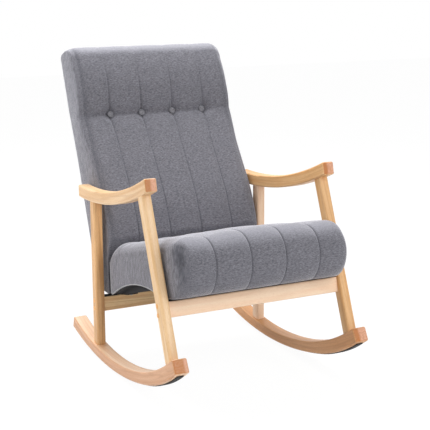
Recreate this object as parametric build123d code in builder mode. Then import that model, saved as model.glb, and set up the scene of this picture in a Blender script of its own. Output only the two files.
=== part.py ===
"""Upholstered rocking chair: wooden rocker frame, channelled seat and buttoned back.

Millimetres. +Z is up, +Y is towards the back, so the chair faces -Y, and X runs across it.
The origin is on the floor, under the middle of the chair's overall size.
"""

import os
from math import cos, radians, sin, sqrt, tan

from build123d import *

os.makedirs("parts", exist_ok=True)

SIDES = {"left": -1, "right": 1}
SLACK = 0.2  # left around a piece that sits in a hole
BELOW = (Align.CENTER, Align.CENTER, Align.MAX)
ABOVE = (Align.CENTER, Align.CENTER, Align.MIN)

# Runners: bars between two curves, each a long arc and a tighter one up to the front end, on rubber strips
RUNNER_OUT = 318.5
RUNNER_WIDE = 46
RUNNER_ROUND = 5
RUNNER_UNDER_R = 1200
RUNNER_UNDER_TURN_Y = -300  # where the long arc hands over to the tighter one
RUNNER_UNDER_TIP = (-503, 152)
RUNNER_OVER_R = 1000
RUNNER_OVER_LOW = (27, 35)
RUNNER_OVER_TURN_Y = -200
RUNNER_OVER_TIP = (-482, 190)
RUNNER_REAR_Y = (319, 330)  # upper and lower corner of the rear end
STRIP_THICK = 3
STRIP_WIDE = 20
STRIP_FRONT_Y = -490
STRIP_REAR_Y = 300
RUNNER_UNDER_LOW = (31, STRIP_THICK)

# Armrests: a bar cut to two arcs about one centre
ARM_OUT = 313
ARM_WIDE = 38.5
ARM_THICK = 39
ARM_ROUND = 5
ARM_OVER_R = 1250
ARM_OVER_LOW = (230, 546.5)
ARM_FRONT_Y = (-293, -303)
ARM_REAR_Y = (253, 249)
ARM_UNDER_R = ARM_OVER_R + ARM_THICK
ARM_UNDER_LOW = (ARM_OVER_LOW[0], ARM_OVER_LOW[1] - ARM_THICK)

# Posts: bars between runner and armrest, given by a point on the centre line and a lean back
POST_OUT = 310
POST_WIDE = 29.5
POST_IN = POST_OUT - POST_WIDE
POST_DEEP = 38
POST_ROUND = 7
POST_ROUGH_LONG = 700  # before its ends are cut to the arcs
POSTS = {"front": ((-345, 377.5), 22.46), "rear": ((136, 275), 0.7)}

# Rails between the posts, with a felt pad on top of each
RAIL_THICK = 22
RAIL_ROUND = 3
PAD_WIDE = 20
PAD_SHORT = 3  # how far a pad stops short of the posts
FRONT_RAIL_HIGH = 46
FRONT_RAIL_S = 482
FRONT_PAD_THICK = 5
REAR_RAIL_HIGH = 48
REAR_RAIL_TOP = 196
REAR_RAIL_Y = 136
REAR_PAD_THICK = 3

# Rail bolts with their barrel nuts and wooden plugs, and the dowels of the side frames
BOLT_SPACING = 26
BOLT_R = 3
BOLT_LONG = 60
BOLT_HEAD_R = 5
BOLT_HEAD_HIGH = 6
BOLT_SOCKET_R = 2.5
BOLT_SOCKET_DEEP = 3
PLUG_R = 7
PLUG_HOLE_DEEP = 12
PLUG_THICK = 6
PLUG_PROUD = 0.8
NUT_R = 5
NUT_LONG = 14
NUT_FROM_END = 30
DOWEL_R = 5
DOWEL_LONG = 45
DOWEL_IN_POST = 25
DOWEL_SPACING = 18

# Seat: s runs forward along its underside, t stands up from it
SEAT_TILT = 13.7
SEAT_CORNER = (104, 209)  # y, z where s and t are 0
SEAT_HALF = 272
SEAT_REAR_S = 26
SEAT_NOSE = (600, 88)
SEAT_BROW_S = 545  # where the nose meets the flat top
SEAT_THICK = 168
SEAT_CREST = (130, 12)  # s, and down from the brow's height, where the top starts to turn down to the rear
SEAT_REAR_CORNER = (60, 26)  # s, and down from the brow's height, on that curve
SEAT_HEEL = (42, 0.74)  # s, and share of the height, where the upright rear ends
SEAT_TOE_BACK = 70  # from the nose back to where the underside turns up
SEAT_UNDER_NOSE = (22, 31)  # back from the nose and up, on the curve below it
SEAT_OVER_NOSE = (14, 0.62)  # back from the nose, and share of the height above it, on the curve above it
SEAT_CROWN = 8  # swell of a channel between its seams
SEAT_DROP = 5  # how much lower the top is towards its sides
SEAT_DROP_X = (60, 160)  # where it starts and stops falling
CHANNEL_SEAMS = (-168, -56, 56, 168)
SEAT_SIDE = ((224, -SEAT_CROWN), (252, -3), (265, 9), (SEAT_HALF, 26))  # x and inset, out to the side panel
ARCH_S = (30, 440)
ARCH_HIGH = 37
ARCH_CUT_X = (237, 275)

# Seat insides
SEAT_POCKET_S = (40, 500)
SEAT_POCKET_T = 71
SEAT_POCKET_HALF = 258
SEAT_FOAM_S = (90, 565)
SEAT_FOAM_T = (70.5, 140)
SEAT_FOAM_HALF = 245
SEAT_FOAM_ROUND = 25
BOARD_T = (2, 58)
SIDE_BOARD_X = (240, 257.5)
FRONT_BOARD_S = (466, 498)
REAR_BOARD_S = (40.5, 60)
CORNER_BLOCK = 45
DECK_THICK = 9
DECK_HOLE_R = 15
DECK_HOLES = (3, 4)  # breathing holes front to rear, and across
DECK_HOLE_SPACING = 110
DUST_THICK = 1.2
DUST_T = 0.3
DUST_HALF = 239.2
DUST_UPSTAND_S = (61, 465)
DUST_UPSTAND_T = 48

# Back: a runs up its rear face, b runs forward from it
BACK_TILT = 22
BACK_CORNER = (209, 209)  # y, z where a and b are 0
BACK_HALF = 270
BACK_LONG = {"seam": 793.5, "crown": 795, "edge": 793, "side": 789}
BACK_FRONT_FOOT_Y = 108
BACK_TUCK_Z = 318  # where the front leaves the seat and swells forward
BACK_WAIST = (129, 180)  # a, b of the points the front runs through, from the seat up
BACK_LUMBAR = (208, 182)
BACK_LUMBAR_TOP = (293, 169)
BACK_RUN = (430, 137)
BACK_HEADREST = (640, 124)
BACK_BROW_B = 114
BACK_BROW_DOWN = {"seam": 47, "crown": 47, "edge": 52, "side": 72}  # from the top, where it turns into the front
BACK_CREST_DOWN = {"seam": 14, "crown": 14, "edge": 15, "side": 20}
BACK_CREST_B = {"seam": 97, "crown": 97, "edge": 97, "side": 92}
BACK_TOP_B = {"seam": 62, "crown": 62, "edge": 58, "side": 47}
BACK_REAR_ROUND = 14
BACK_SWELL = {"seam": 0, "crown": 8, "edge": 1, "side": -13}  # of the front, up to the buttons
HEAD_SWELL = {"seam": 0, "crown": 9, "edge": 5, "side": -8}  # of the front, above the buttons
BACK_SIDE_CROWN_X = 219
BACK_SIDE_EDGE_X = 258
BUTTON_A = 552
CREASE_B = {"seam": 99, "crown": 113, "edge": 112, "side": 104}
BUTTON_R = 11
BUTTON_THICK = 8
BUTTON_ROUND = 3.5
DIMPLE_R = 17
DIMPLE_DEEP = 5
TIE_R = 1.2

# Back insides
BACK_POCKET_A = (10, 764)
BACK_POCKET_HALF = 256
BACK_POCKET_AHEAD = 5  # from the frame's front edge to the end of its pocket
BACK_FOAM_AHEAD = 4.5  # from the frame's front edge to the foam
BACK_FOAM_A = (110, 748)
BACK_FOAM_FRONT = ((748, 85), (BUTTON_A, 75), (293, 145), (150, 155), (110, 148))  # a, b from the top down
BACK_FOAM_HALF = 246
CUT_PAST = 2  # how far a cut runs out past a face
FOOT_BOARD_Y = (117, 205)
FOOT_BOARD_Z = (209.5, 231.5)
FOOT_BOARD_HALF = 255
FOOT_SLOT_Z = (208, 237)
STILE_X = (212, 250)
STILE_REAR_B = 8
STILE_FOOT_Y = 130
FRAME_FRONT = ((129, 104), (293, 90), (552, 38), (762, 38))  # a, b along the frame's front edge
BACK_RAIL_THICK = 28
BACK_RAILS = {"back_top_rail": (727, 762), "back_button_rail": (535, 569), "back_lumbar_rail": (250, 290)}
BACK_STRAP_A = (170, 240, 340, 420, 490, 640)
STRAP_WIDE = 50
STRAP_THICK = 1.5
REAR_COVER_THICK = 2

# Steel plates under the seat and back, and what holds both to the rails
PLATE_X = 222
PLATE_WIDE = 34
PLATE_THICK = 4
PLATE_REAR_Y = 196
PLATE_FRONT_S = 84
SCREW_R = 2
SCREW_LONG = 22
SCREW_HEAD_R = 4
SCREW_HEAD_HIGH = 2.2
SCREW_BACK_Y = (166, 186)
SCREW_SEAT_S = (50, 72)
SPACER_R = 12
FIXING_R = 4
FIXING_HEAD_R = 6.5
FIXING_HEAD_HIGH = 5
FIXING_RECESS_R = 8.4
FIXING_RECESS = 8
WASHER_R = 8
WASHER_THICK = 1.6
INSERT_R = 5.5
INSERT_LONG = 14
FRONT_FIXING_X = 150
FRONT_FIXING_LONG = 62
REAR_FIXING_LONG = 72
FIXING_HOLE_LONG = 120


def arc_z(y, low, radius):
    """Height at y of an arc that hangs to its low point."""
    return low[1] + radius - sqrt(radius**2 - (y - low[0]) ** 2)


def front_arc(low, radius, turn_y, tip):
    """Low point and radius of the arc that leaves a hanging arc smoothly at turn_y and ends at tip."""
    turn_z = arc_z(turn_y, low, radius)
    inward = ((low[0] - turn_y) / radius, (low[1] + radius - turn_z) / radius)
    reach = (tip[0] - turn_y, tip[1] - turn_z)
    tight = (reach[0] ** 2 + reach[1] ** 2) / (2 * (reach[0] * inward[0] + reach[1] * inward[1]))
    return ((turn_y + tight * inward[0], turn_z + tight * inward[1] - tight), tight)


RUNNER_OVER = (RUNNER_OVER_LOW, RUNNER_OVER_R)
RUNNER_UNDER = (RUNNER_UNDER_LOW, RUNNER_UNDER_R)
RUNNER_OVER_FRONT = front_arc(*RUNNER_OVER, RUNNER_OVER_TURN_Y, RUNNER_OVER_TIP)
RUNNER_UNDER_FRONT = front_arc(*RUNNER_UNDER, RUNNER_UNDER_TURN_Y, RUNNER_UNDER_TIP)


def seat_point(s, t):
    """Side-view y, z of a point along and above the seat's underside."""
    lean = radians(SEAT_TILT)
    return (SEAT_CORNER[0] - s * cos(lean) + t * sin(lean), SEAT_CORNER[1] + s * sin(lean) + t * cos(lean))


def back_point(a, b):
    """Side-view y, z of a point up and in front of the back's rear face."""
    lean = radians(BACK_TILT)
    return (BACK_CORNER[0] + a * sin(lean) - b * cos(lean), BACK_CORNER[1] + a * cos(lean) + b * sin(lean))


def leaning_plane(corner, tilt):
    """Plane at a side-view corner: local x forward, local y across, local z up."""
    forward = (0, -cos(radians(tilt)), sin(radians(tilt)))
    upward = (0, sin(radians(tilt)), cos(radians(tilt)))
    return Plane(origin=(0, *corner), x_dir=forward, z_dir=upward)


SEAT = leaning_plane(SEAT_CORNER, SEAT_TILT)
BACK = leaning_plane(BACK_CORNER, BACK_TILT)


def on_seat(s, x, t):
    """Place for a piece that is square to the seat."""
    return SEAT.location * Location((s, x, t))


def on_back(a, x, b):
    """Place for a piece that is square to the back."""
    return BACK.location * Location((b, x, a))


def frame_front_b(a):
    """How far the back frame's front edge stands ahead of the rear face at a."""
    for (low_a, low_b), (high_a, high_b) in zip(FRAME_FRONT, FRAME_FRONT[1:]):
        if a <= high_a:
            return low_b + (a - low_a) * (high_b - low_b) / (high_a - low_a)
    return FRAME_FRONT[-1][1]


def middle(span):
    """Half way along a pair of values."""
    return sum(span) / 2


def length(span):
    """How far apart a pair of values is."""
    return span[1] - span[0]


def write(piece, name):
    """Label a finished piece and write its file."""
    piece.part.label = name
    export_step(piece.part, f"parts/{name}.step")


def arc_bar(x, over, under, front_y, rear_y):
    """Side-view face between two hanging arcs, each a low point and a radius."""
    over_front, over_rear = [(y, arc_z(y, *over)) for y in (front_y[0], rear_y[0])]
    under_front, under_rear = [(y, arc_z(y, *under)) for y in (front_y[1], rear_y[1])]
    with BuildSketch(Plane.YZ.offset(x)) as face:
        with BuildLine():
            ThreePointArc(over_front, over[0], over_rear)
            Line(over_rear, under_rear)
            ThreePointArc(under_rear, under[0], under_front)
            Line(under_front, over_front)
        make_face()
    return face.sketch


def curve_points(main, front, turn_y, front_y, rear_y):
    """Five points along a runner's curve, from its front end to its rear one."""
    bend_y = (turn_y + front_y) / 2
    return [(front_y, arc_z(front_y, *front)), (bend_y, arc_z(bend_y, *front)),
            (turn_y, arc_z(turn_y, *main)), main[0], (rear_y, arc_z(rear_y, *main))]


def curved_bar(x, over, under):
    """Side-view face between two runner curves."""
    with BuildSketch(Plane.YZ.offset(x)) as face:
        with BuildLine():
            for front, bend, turn, low, rear in (over, under):
                ThreePointArc(front, bend, turn)
                ThreePointArc(turn, low, rear)
            Line(over[0], under[0])
            Line(over[-1], under[-1])
        make_face()
    return face.sketch


def post_end(post, low, radius):
    """Side-view point where a post's centre line meets a hanging arc."""
    (y, z), lean = post
    up = (sin(radians(lean)), cos(radians(lean)))
    from_centre = (y - low[0], z - low[1] - radius)
    along = up[0] * from_centre[0] + up[1] * from_centre[1]
    outside = from_centre[0] ** 2 + from_centre[1] ** 2 - radius**2
    step = -along - sqrt(along**2 - outside)
    return (y + step * up[0], z + step * up[1])


def dowel_planes(arcs, into_post):
    """Planes of the two dowels at each post's end, in line with the post.

    arcs gives the arc that each post ends on. into_post is 1 at a foot and -1 at a top, and moves each dowel
    further into the post.
    """
    shift = into_post * (DOWEL_IN_POST - DOWEL_LONG / 2)
    planes = []
    for side in SIDES.values():
        for place, post in POSTS.items():
            lean = radians(post[1])
            end_y, end_z = post_end(post, *arcs[place])
            for step in (-DOWEL_SPACING / 2, DOWEL_SPACING / 2):
                y = end_y + step * cos(lean) + shift * sin(lean)
                z = end_z - step * sin(lean) + shift * cos(lean)
                origin = (side * (POST_OUT - POST_WIDE / 2), y, z)
                planes.append(Plane(origin=origin, x_dir=(1, 0, 0), z_dir=(0, sin(lean), cos(lean))))
    return planes


ARM_UNDER = (ARM_UNDER_LOW, ARM_UNDER_R)
POST_FEET = {"front": RUNNER_OVER_FRONT, "rear": RUNNER_OVER}
POST_TOPS = {"front": ARM_UNDER, "rear": ARM_UNDER}
RUNNER_DOWELS = dowel_planes(POST_FEET, 1)
ARM_DOWELS = dowel_planes(POST_TOPS, -1)


def front_bolt_points():
    """Side-view points of the bolts into the front rail's ends."""
    rail_t = -FRONT_PAD_THICK - FRONT_RAIL_HIGH / 2
    return [seat_point(FRONT_RAIL_S, rail_t + step) for step in (-BOLT_SPACING / 2, BOLT_SPACING / 2)]


def rear_bolt_points():
    """Side-view points of the bolts into the rear rail's ends."""
    rail_z = REAR_RAIL_TOP - REAR_RAIL_HIGH / 2
    return [(REAR_RAIL_Y, rail_z + step) for step in (-BOLT_SPACING / 2, BOLT_SPACING / 2)]


def across_planes(x, points):
    """Planes at side-view points on both sides of the chair, facing outward."""
    planes = []
    for side in SIDES.values():
        for point in points:
            planes.append(Plane(origin=(side * x, *point), x_dir=(0, 1, 0), z_dir=(side, 0, 0)))
    return planes


BOLT_PLANES = across_planes(POST_OUT, front_bolt_points() + rear_bolt_points())
SEAT_FORWARD = (0, -cos(radians(SEAT_TILT)), sin(radians(SEAT_TILT)))
NUT_X = POST_IN - NUT_FROM_END
FRONT_NUTS = [Plane(origin=p.origin, x_dir=(1, 0, 0), z_dir=SEAT_FORWARD)
              for p in across_planes(NUT_X, front_bolt_points())]
REAR_NUTS = [Plane(origin=p.origin, x_dir=(1, 0, 0), z_dir=(0, -1, 0))
             for p in across_planes(NUT_X, rear_bolt_points())]


# Places where a bolt comes up through a rail, at the rail's underside
FRONT_FIXINGS = [on_seat(FRONT_RAIL_S, side * FRONT_FIXING_X, -FRONT_PAD_THICK - FRONT_RAIL_HIGH)
                 for side in SIDES.values()]
REAR_FIXINGS = [Location((side * PLATE_X, REAR_RAIL_Y, REAR_RAIL_TOP - REAR_RAIL_HIGH))
                for side in SIDES.values()]
FRONT_INSERT_UP = FRONT_RAIL_HIGH + FRONT_PAD_THICK + BOARD_T[0]
REAR_INSERT_UP = FOOT_BOARD_Z[0] - REAR_RAIL_TOP + REAR_RAIL_HIGH

# The arch cut into the lower edge of the seat's sides
ARCH_R = (length(ARCH_S) ** 2 / 4 + ARCH_HIGH**2) / (2 * ARCH_HIGH)
ARCHES = [Plane(origin=on_seat(middle(ARCH_S), side * middle(ARCH_CUT_X), ARCH_HIGH - ARCH_R).position,
                x_dir=(0, 1, 0), z_dir=(1, 0, 0)) for side in SIDES.values()]

# Screws through the steel plates, at the plates' undersides
SCREWS = [Location((side * PLATE_X, y, BACK_CORNER[1] - PLATE_THICK))
          for side in SIDES.values() for y in SCREW_BACK_Y]
SCREWS += [on_seat(s, side * PLATE_X, -PLATE_THICK) for side in SIDES.values() for s in SCREW_SEAT_S]

# Buttons on the back's seams
BUTTONS = [on_back(BUTTON_A, x, CREASE_B["seam"] - DIMPLE_DEEP) * Location((0, 0, 0), (0, 90, 0))
           for x in CHANNEL_SEAMS]

# Runners and their strips
for name, side in SIDES.items():
    runner_x = side * (RUNNER_OUT - RUNNER_WIDE / 2)
    over_ends = (RUNNER_OVER_TIP[0], RUNNER_REAR_Y[0])
    under_ends = (RUNNER_UNDER_TIP[0], RUNNER_REAR_Y[1])
    over = curve_points(RUNNER_OVER, RUNNER_OVER_FRONT, RUNNER_OVER_TURN_Y, *over_ends)
    under = curve_points(RUNNER_UNDER, RUNNER_UNDER_FRONT, RUNNER_UNDER_TURN_Y, *under_ends)
    with BuildPart() as runner:
        extrude(to_extrude=curved_bar(runner_x, over, under), amount=RUNNER_WIDE / 2, both=True)
        across = runner.edges().filter_by(Axis.X).sort_by(Axis.Y)
        along = runner.edges().filter_by(Axis.X, reverse=True)
        fillet([*along, *across[:2], *across[-2:]], RUNNER_ROUND)
        with Locations(*RUNNER_DOWELS):
            Cylinder(DOWEL_R + SLACK, DOWEL_LONG + 2 * SLACK, mode=Mode.SUBTRACT)
    write(runner, f"runner_{name}")

    strip_ends = (STRIP_FRONT_Y, STRIP_REAR_Y)
    floor_arcs = [((low[0], low[1] - STRIP_THICK), radius + STRIP_THICK)
                  for low, radius in (RUNNER_UNDER, RUNNER_UNDER_FRONT)]
    turn_lean = (RUNNER_UNDER_LOW[0] - RUNNER_UNDER_TURN_Y) / RUNNER_UNDER_R
    floor_turn_y = RUNNER_UNDER_TURN_Y - STRIP_THICK * turn_lean
    over = curve_points(RUNNER_UNDER, RUNNER_UNDER_FRONT, RUNNER_UNDER_TURN_Y, *strip_ends)
    under = curve_points(*floor_arcs, floor_turn_y, *strip_ends)
    with BuildPart() as strip:
        extrude(to_extrude=curved_bar(runner_x, over, under), amount=STRIP_WIDE / 2, both=True)
    write(strip, f"runner_strip_{name}")

# Armrests
for name, side in SIDES.items():
    arm_x = side * (ARM_OUT - ARM_WIDE / 2)
    with BuildPart() as armrest:
        bar = arc_bar(arm_x, (ARM_OVER_LOW, ARM_OVER_R), ARM_UNDER, ARM_FRONT_Y, ARM_REAR_Y)
        extrude(to_extrude=bar, amount=ARM_WIDE / 2, both=True)
        fillet(armrest.edges(), ARM_ROUND)
        with Locations(*ARM_DOWELS):
            Cylinder(DOWEL_R + SLACK, DOWEL_LONG + 2 * SLACK, mode=Mode.SUBTRACT)
    write(armrest, f"armrest_{name}")

# Posts, cut to the runner below and the armrest above
for name, side in SIDES.items():
    post_x = side * (POST_OUT - POST_WIDE / 2)
    for place, (centre, lean) in POSTS.items():
        foot_low, foot_r = POST_FEET[place]
        with BuildPart() as post:
            with BuildSketch(Plane.YZ.offset(post_x)):
                with Locations(centre):
                    Rectangle(POST_DEEP, POST_ROUGH_LONG, rotation=-lean)
                with Locations((foot_low[0], foot_low[1] + foot_r)):
                    Circle(foot_r, mode=Mode.INTERSECT)
                with Locations((ARM_UNDER_LOW[0], ARM_UNDER_LOW[1] + ARM_UNDER_R)):
                    Circle(ARM_UNDER_R, mode=Mode.SUBTRACT)
            extrude(amount=POST_WIDE / 2, both=True)
            long_edges = post.edges().sort_by(Edge.length)[-4:]
            fillet(long_edges, POST_ROUND)
            with Locations(*RUNNER_DOWELS, *ARM_DOWELS):
                Cylinder(DOWEL_R + SLACK, DOWEL_LONG + 2 * SLACK, mode=Mode.SUBTRACT)
            with Locations(*BOLT_PLANES):
                Cylinder(PLUG_R + SLACK, PLUG_HOLE_DEEP, align=BELOW, mode=Mode.SUBTRACT)
                Cylinder(BOLT_R + SLACK, BOLT_LONG, align=BELOW, mode=Mode.SUBTRACT)
        write(post, f"{place}_post_{name}")

# Front rail, tilted with the seat
with BuildPart() as front_rail:
    with Locations(on_seat(FRONT_RAIL_S, 0, -FRONT_PAD_THICK)):
        Box(RAIL_THICK, 2 * POST_IN, FRONT_RAIL_HIGH, align=BELOW)
    fillet(front_rail.edges().filter_by(Axis.X), RAIL_ROUND)
    with Locations(*BOLT_PLANES):
        Cylinder(BOLT_R + SLACK, BOLT_LONG + POST_WIDE, align=BELOW, mode=Mode.SUBTRACT)
    with Locations(*FRONT_NUTS):
        Cylinder(NUT_R + SLACK, RAIL_THICK, align=BELOW, mode=Mode.SUBTRACT)
        Cylinder(NUT_R + SLACK, NUT_LONG / 2 + SLACK, align=ABOVE, mode=Mode.SUBTRACT)
    with Locations(*FRONT_FIXINGS):
        Cylinder(FIXING_R + SLACK, FIXING_HOLE_LONG, mode=Mode.SUBTRACT)
        Cylinder(FIXING_RECESS_R, FIXING_RECESS, align=ABOVE, mode=Mode.SUBTRACT)
write(front_rail, "front_rail")

# Rear rail
with BuildPart() as rear_rail:
    with Locations((0, REAR_RAIL_Y, REAR_RAIL_TOP)):
        Box(2 * POST_IN, RAIL_THICK, REAR_RAIL_HIGH, align=BELOW)
    fillet(rear_rail.edges().filter_by(Axis.X), RAIL_ROUND)
    with Locations(*BOLT_PLANES):
        Cylinder(BOLT_R + SLACK, BOLT_LONG + POST_WIDE, align=BELOW, mode=Mode.SUBTRACT)
    with Locations(*REAR_NUTS):
        Cylinder(NUT_R + SLACK, RAIL_THICK, align=BELOW, mode=Mode.SUBTRACT)
        Cylinder(NUT_R + SLACK, NUT_LONG / 2 + SLACK, align=ABOVE, mode=Mode.SUBTRACT)
    with Locations(*REAR_FIXINGS):
        Cylinder(FIXING_R + SLACK, FIXING_HOLE_LONG, mode=Mode.SUBTRACT)
        Cylinder(FIXING_RECESS_R, FIXING_RECESS, align=ABOVE, mode=Mode.SUBTRACT)
write(rear_rail, "rear_rail")

# Felt pads on the rails
pad_long = 2 * (POST_IN - PAD_SHORT)
with BuildPart() as front_pad:
    with Locations(on_seat(FRONT_RAIL_S, 0, 0)):
        Box(PAD_WIDE, pad_long, FRONT_PAD_THICK, align=BELOW)
    with Locations(*FRONT_FIXINGS):
        Cylinder(FIXING_R + SLACK, FIXING_HOLE_LONG, mode=Mode.SUBTRACT)
write(front_pad, "front_rail_pad")

with BuildPart() as rear_pad:
    with Locations((0, REAR_RAIL_Y, REAR_RAIL_TOP)):
        Box(pad_long, PAD_WIDE, REAR_PAD_THICK, align=ABOVE)
    with Locations(*REAR_FIXINGS):
        Cylinder(FIXING_R + SLACK, FIXING_HOLE_LONG, mode=Mode.SUBTRACT)
write(rear_pad, "rear_rail_pad")

# Dowels of the side frames
for name, planes in {"runner_dowels": RUNNER_DOWELS, "armrest_dowels": ARM_DOWELS}.items():
    with BuildPart() as dowels:
        with Locations(*planes):
            Cylinder(DOWEL_R, DOWEL_LONG)
    write(dowels, name)

# Rail bolts, barrel nuts and the plugs that hide the bolt heads
with BuildPart() as rail_bolts:
    with Locations(*BOLT_PLANES):
        with Locations((0, 0, -PLUG_HOLE_DEEP)):
            Cylinder(BOLT_R, BOLT_LONG, align=BELOW)
            Cylinder(BOLT_HEAD_R, BOLT_HEAD_HIGH, align=ABOVE)
        with Locations((0, 0, BOLT_HEAD_HIGH - PLUG_HOLE_DEEP)):
            Cylinder(BOLT_SOCKET_R, BOLT_SOCKET_DEEP, align=BELOW, mode=Mode.SUBTRACT)
write(rail_bolts, "rail_bolts")

with BuildPart() as barrel_nuts:
    with Locations(*FRONT_NUTS, *REAR_NUTS):
        Cylinder(NUT_R, NUT_LONG)
    with Locations(*BOLT_PLANES):
        Cylinder(BOLT_R + SLACK / 2, BOLT_LONG + POST_WIDE, align=BELOW, mode=Mode.SUBTRACT)
write(barrel_nuts, "barrel_nuts")

with BuildPart() as plugs:
    with Locations(*BOLT_PLANES):
        with Locations((0, 0, PLUG_PROUD)):
            Cylinder(PLUG_R, PLUG_THICK, align=BELOW)
    fillet(plugs.faces().sort_by(Axis.X)[-4:].edges(), PLUG_PROUD)
    fillet(plugs.faces().sort_by(Axis.X)[:4].edges(), PLUG_PROUD)
write(plugs, "bolt_cover_plugs")


def seat_section(x, inset):
    """Side-view section of the seat at x; inset draws in its top and nose."""
    low_x, high_x = SEAT_DROP_X
    outward = min(1, max(0, (abs(x) - low_x) / (high_x - low_x)))
    top = SEAT_THICK - inset - SEAT_DROP * outward
    nose_s = SEAT_NOSE[0] - inset
    toe = seat_point(nose_s - SEAT_TOE_BACK, 0)
    under_nose = seat_point(nose_s - SEAT_UNDER_NOSE[0], SEAT_UNDER_NOSE[1])
    nose = seat_point(nose_s, SEAT_NOSE[1])
    over_nose_t = SEAT_NOSE[1] + SEAT_OVER_NOSE[1] * (top - SEAT_NOSE[1])
    over_nose = seat_point(nose_s - SEAT_OVER_NOSE[0], over_nose_t)
    brow = seat_point(SEAT_BROW_S, top)
    crest = seat_point(SEAT_CREST[0], top - SEAT_CREST[1])
    rear_corner = seat_point(SEAT_REAR_CORNER[0], top - SEAT_REAR_CORNER[1])
    heel = seat_point(SEAT_HEEL[0], SEAT_HEEL[1] * top)
    foot = seat_point(SEAT_REAR_S, 0)
    with BuildSketch(Plane.YZ.offset(x)) as section:
        with BuildLine():
            Line(foot, toe)
            ThreePointArc(toe, under_nose, nose)
            ThreePointArc(nose, over_nose, brow)
            Line(brow, crest)
            ThreePointArc(crest, rear_corner, heel)
            Line(heel, foot)
        make_face()
    return section.sketch


# Seat cushion: a loft for each channel, with a pocket below for its frame and foam
with BuildPart() as seat_cushion:
    for start, end in zip(CHANNEL_SEAMS, CHANNEL_SEAMS[1:]):
        crown = seat_section((start + end) / 2, -SEAT_CROWN)
        loft(sections=[seat_section(start, 0), crown, seat_section(end, 0)])
    for side in SIDES.values():
        seam = seat_section(side * CHANNEL_SEAMS[-1], 0)
        loft(sections=[seam, *(seat_section(side * x, inset) for x, inset in SEAT_SIDE)])
    with Locations(on_seat(middle(SEAT_POCKET_S), 0, SEAT_POCKET_T)):
        Box(length(SEAT_POCKET_S), 2 * SEAT_POCKET_HALF, 2 * SEAT_POCKET_T, align=BELOW, mode=Mode.SUBTRACT)
    with Locations(on_seat(middle(SEAT_FOAM_S), 0, middle(SEAT_FOAM_T))):
        Box(length(SEAT_FOAM_S), 2 * SEAT_FOAM_HALF, length(SEAT_FOAM_T), mode=Mode.SUBTRACT)
    with Locations(*ARCHES):
        Cylinder(ARCH_R, length(ARCH_CUT_X), mode=Mode.SUBTRACT)
write(seat_cushion, "seat_cushion")

# Seat foam
with BuildPart() as seat_foam:
    with Locations(on_seat(middle(SEAT_FOAM_S), 0, middle(SEAT_FOAM_T))):
        Box(length(SEAT_FOAM_S), 2 * SEAT_FOAM_HALF, length(SEAT_FOAM_T))
    front_edges = seat_foam.faces().sort_by(Axis.Y)[0].edges().filter_by(Axis.X)
    fillet(front_edges, SEAT_FOAM_ROUND)
write(seat_foam, "seat_foam")

# Seat frame: two side boards with the arch, front and rear boards, and corner blocks
board_high = length(BOARD_T)
for name, side in SIDES.items():
    with BuildPart() as side_board:
        with Locations(on_seat(middle(SEAT_POCKET_S), side * middle(SIDE_BOARD_X), BOARD_T[0])):
            Box(length(SEAT_POCKET_S) - 1, length(SIDE_BOARD_X), board_high, align=ABOVE)
        with Locations(*ARCHES):
            Cylinder(ARCH_R, length(ARCH_CUT_X), mode=Mode.SUBTRACT)
    write(side_board, f"seat_side_board_{name}")

cross_half = SIDE_BOARD_X[0] - SLACK
for name, board_s in {"seat_front_board": FRONT_BOARD_S, "seat_rear_board": REAR_BOARD_S}.items():
    with BuildPart() as cross_board:
        with Locations(on_seat(middle(board_s), 0, BOARD_T[0])):
            Box(length(board_s), 2 * cross_half, board_high, align=ABOVE)
        with Locations(*FRONT_FIXINGS):
            Cylinder(INSERT_R + SLACK, FRONT_INSERT_UP + 2 * INSERT_LONG, align=ABOVE, mode=Mode.SUBTRACT)
        with Locations(*SCREWS):
            Cylinder(SCREW_R + SLACK, SCREW_LONG + 1, align=ABOVE, mode=Mode.SUBTRACT)
    write(cross_board, name)

with BuildPart() as corner_blocks:
    for side in SIDES.values():
        for corner_s, inward in ((REAR_BOARD_S[1] + SLACK, 1), (FRONT_BOARD_S[0] - SLACK, -1)):
            corner_x = side * (DUST_HALF - DUST_THICK - SLACK)
            with BuildSketch(Plane(on_seat(corner_s, corner_x, BOARD_T[0]))):
                Polygon((0, 0), (inward * CORNER_BLOCK, 0), (0, -side * CORNER_BLOCK), align=None)
            extrude(amount=board_high)
    with Locations(*SCREWS):
        Cylinder(SCREW_R + SLACK, SCREW_LONG + 1, align=ABOVE, mode=Mode.SUBTRACT)
write(corner_blocks, "seat_corner_blocks")

# Plywood deck on the seat frame, with breathing holes
with BuildPart() as seat_deck:
    with Locations(on_seat(middle(SEAT_POCKET_S), 0, BOARD_T[1] + SLACK)):
        Box(length(SEAT_POCKET_S) - 1, 2 * SIDE_BOARD_X[1], DECK_THICK, align=ABOVE)
        with GridLocations(DECK_HOLE_SPACING, DECK_HOLE_SPACING, *DECK_HOLES):
            Cylinder(DECK_HOLE_R, 3 * DECK_THICK, mode=Mode.SUBTRACT)
write(seat_deck, "seat_deck")

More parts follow.
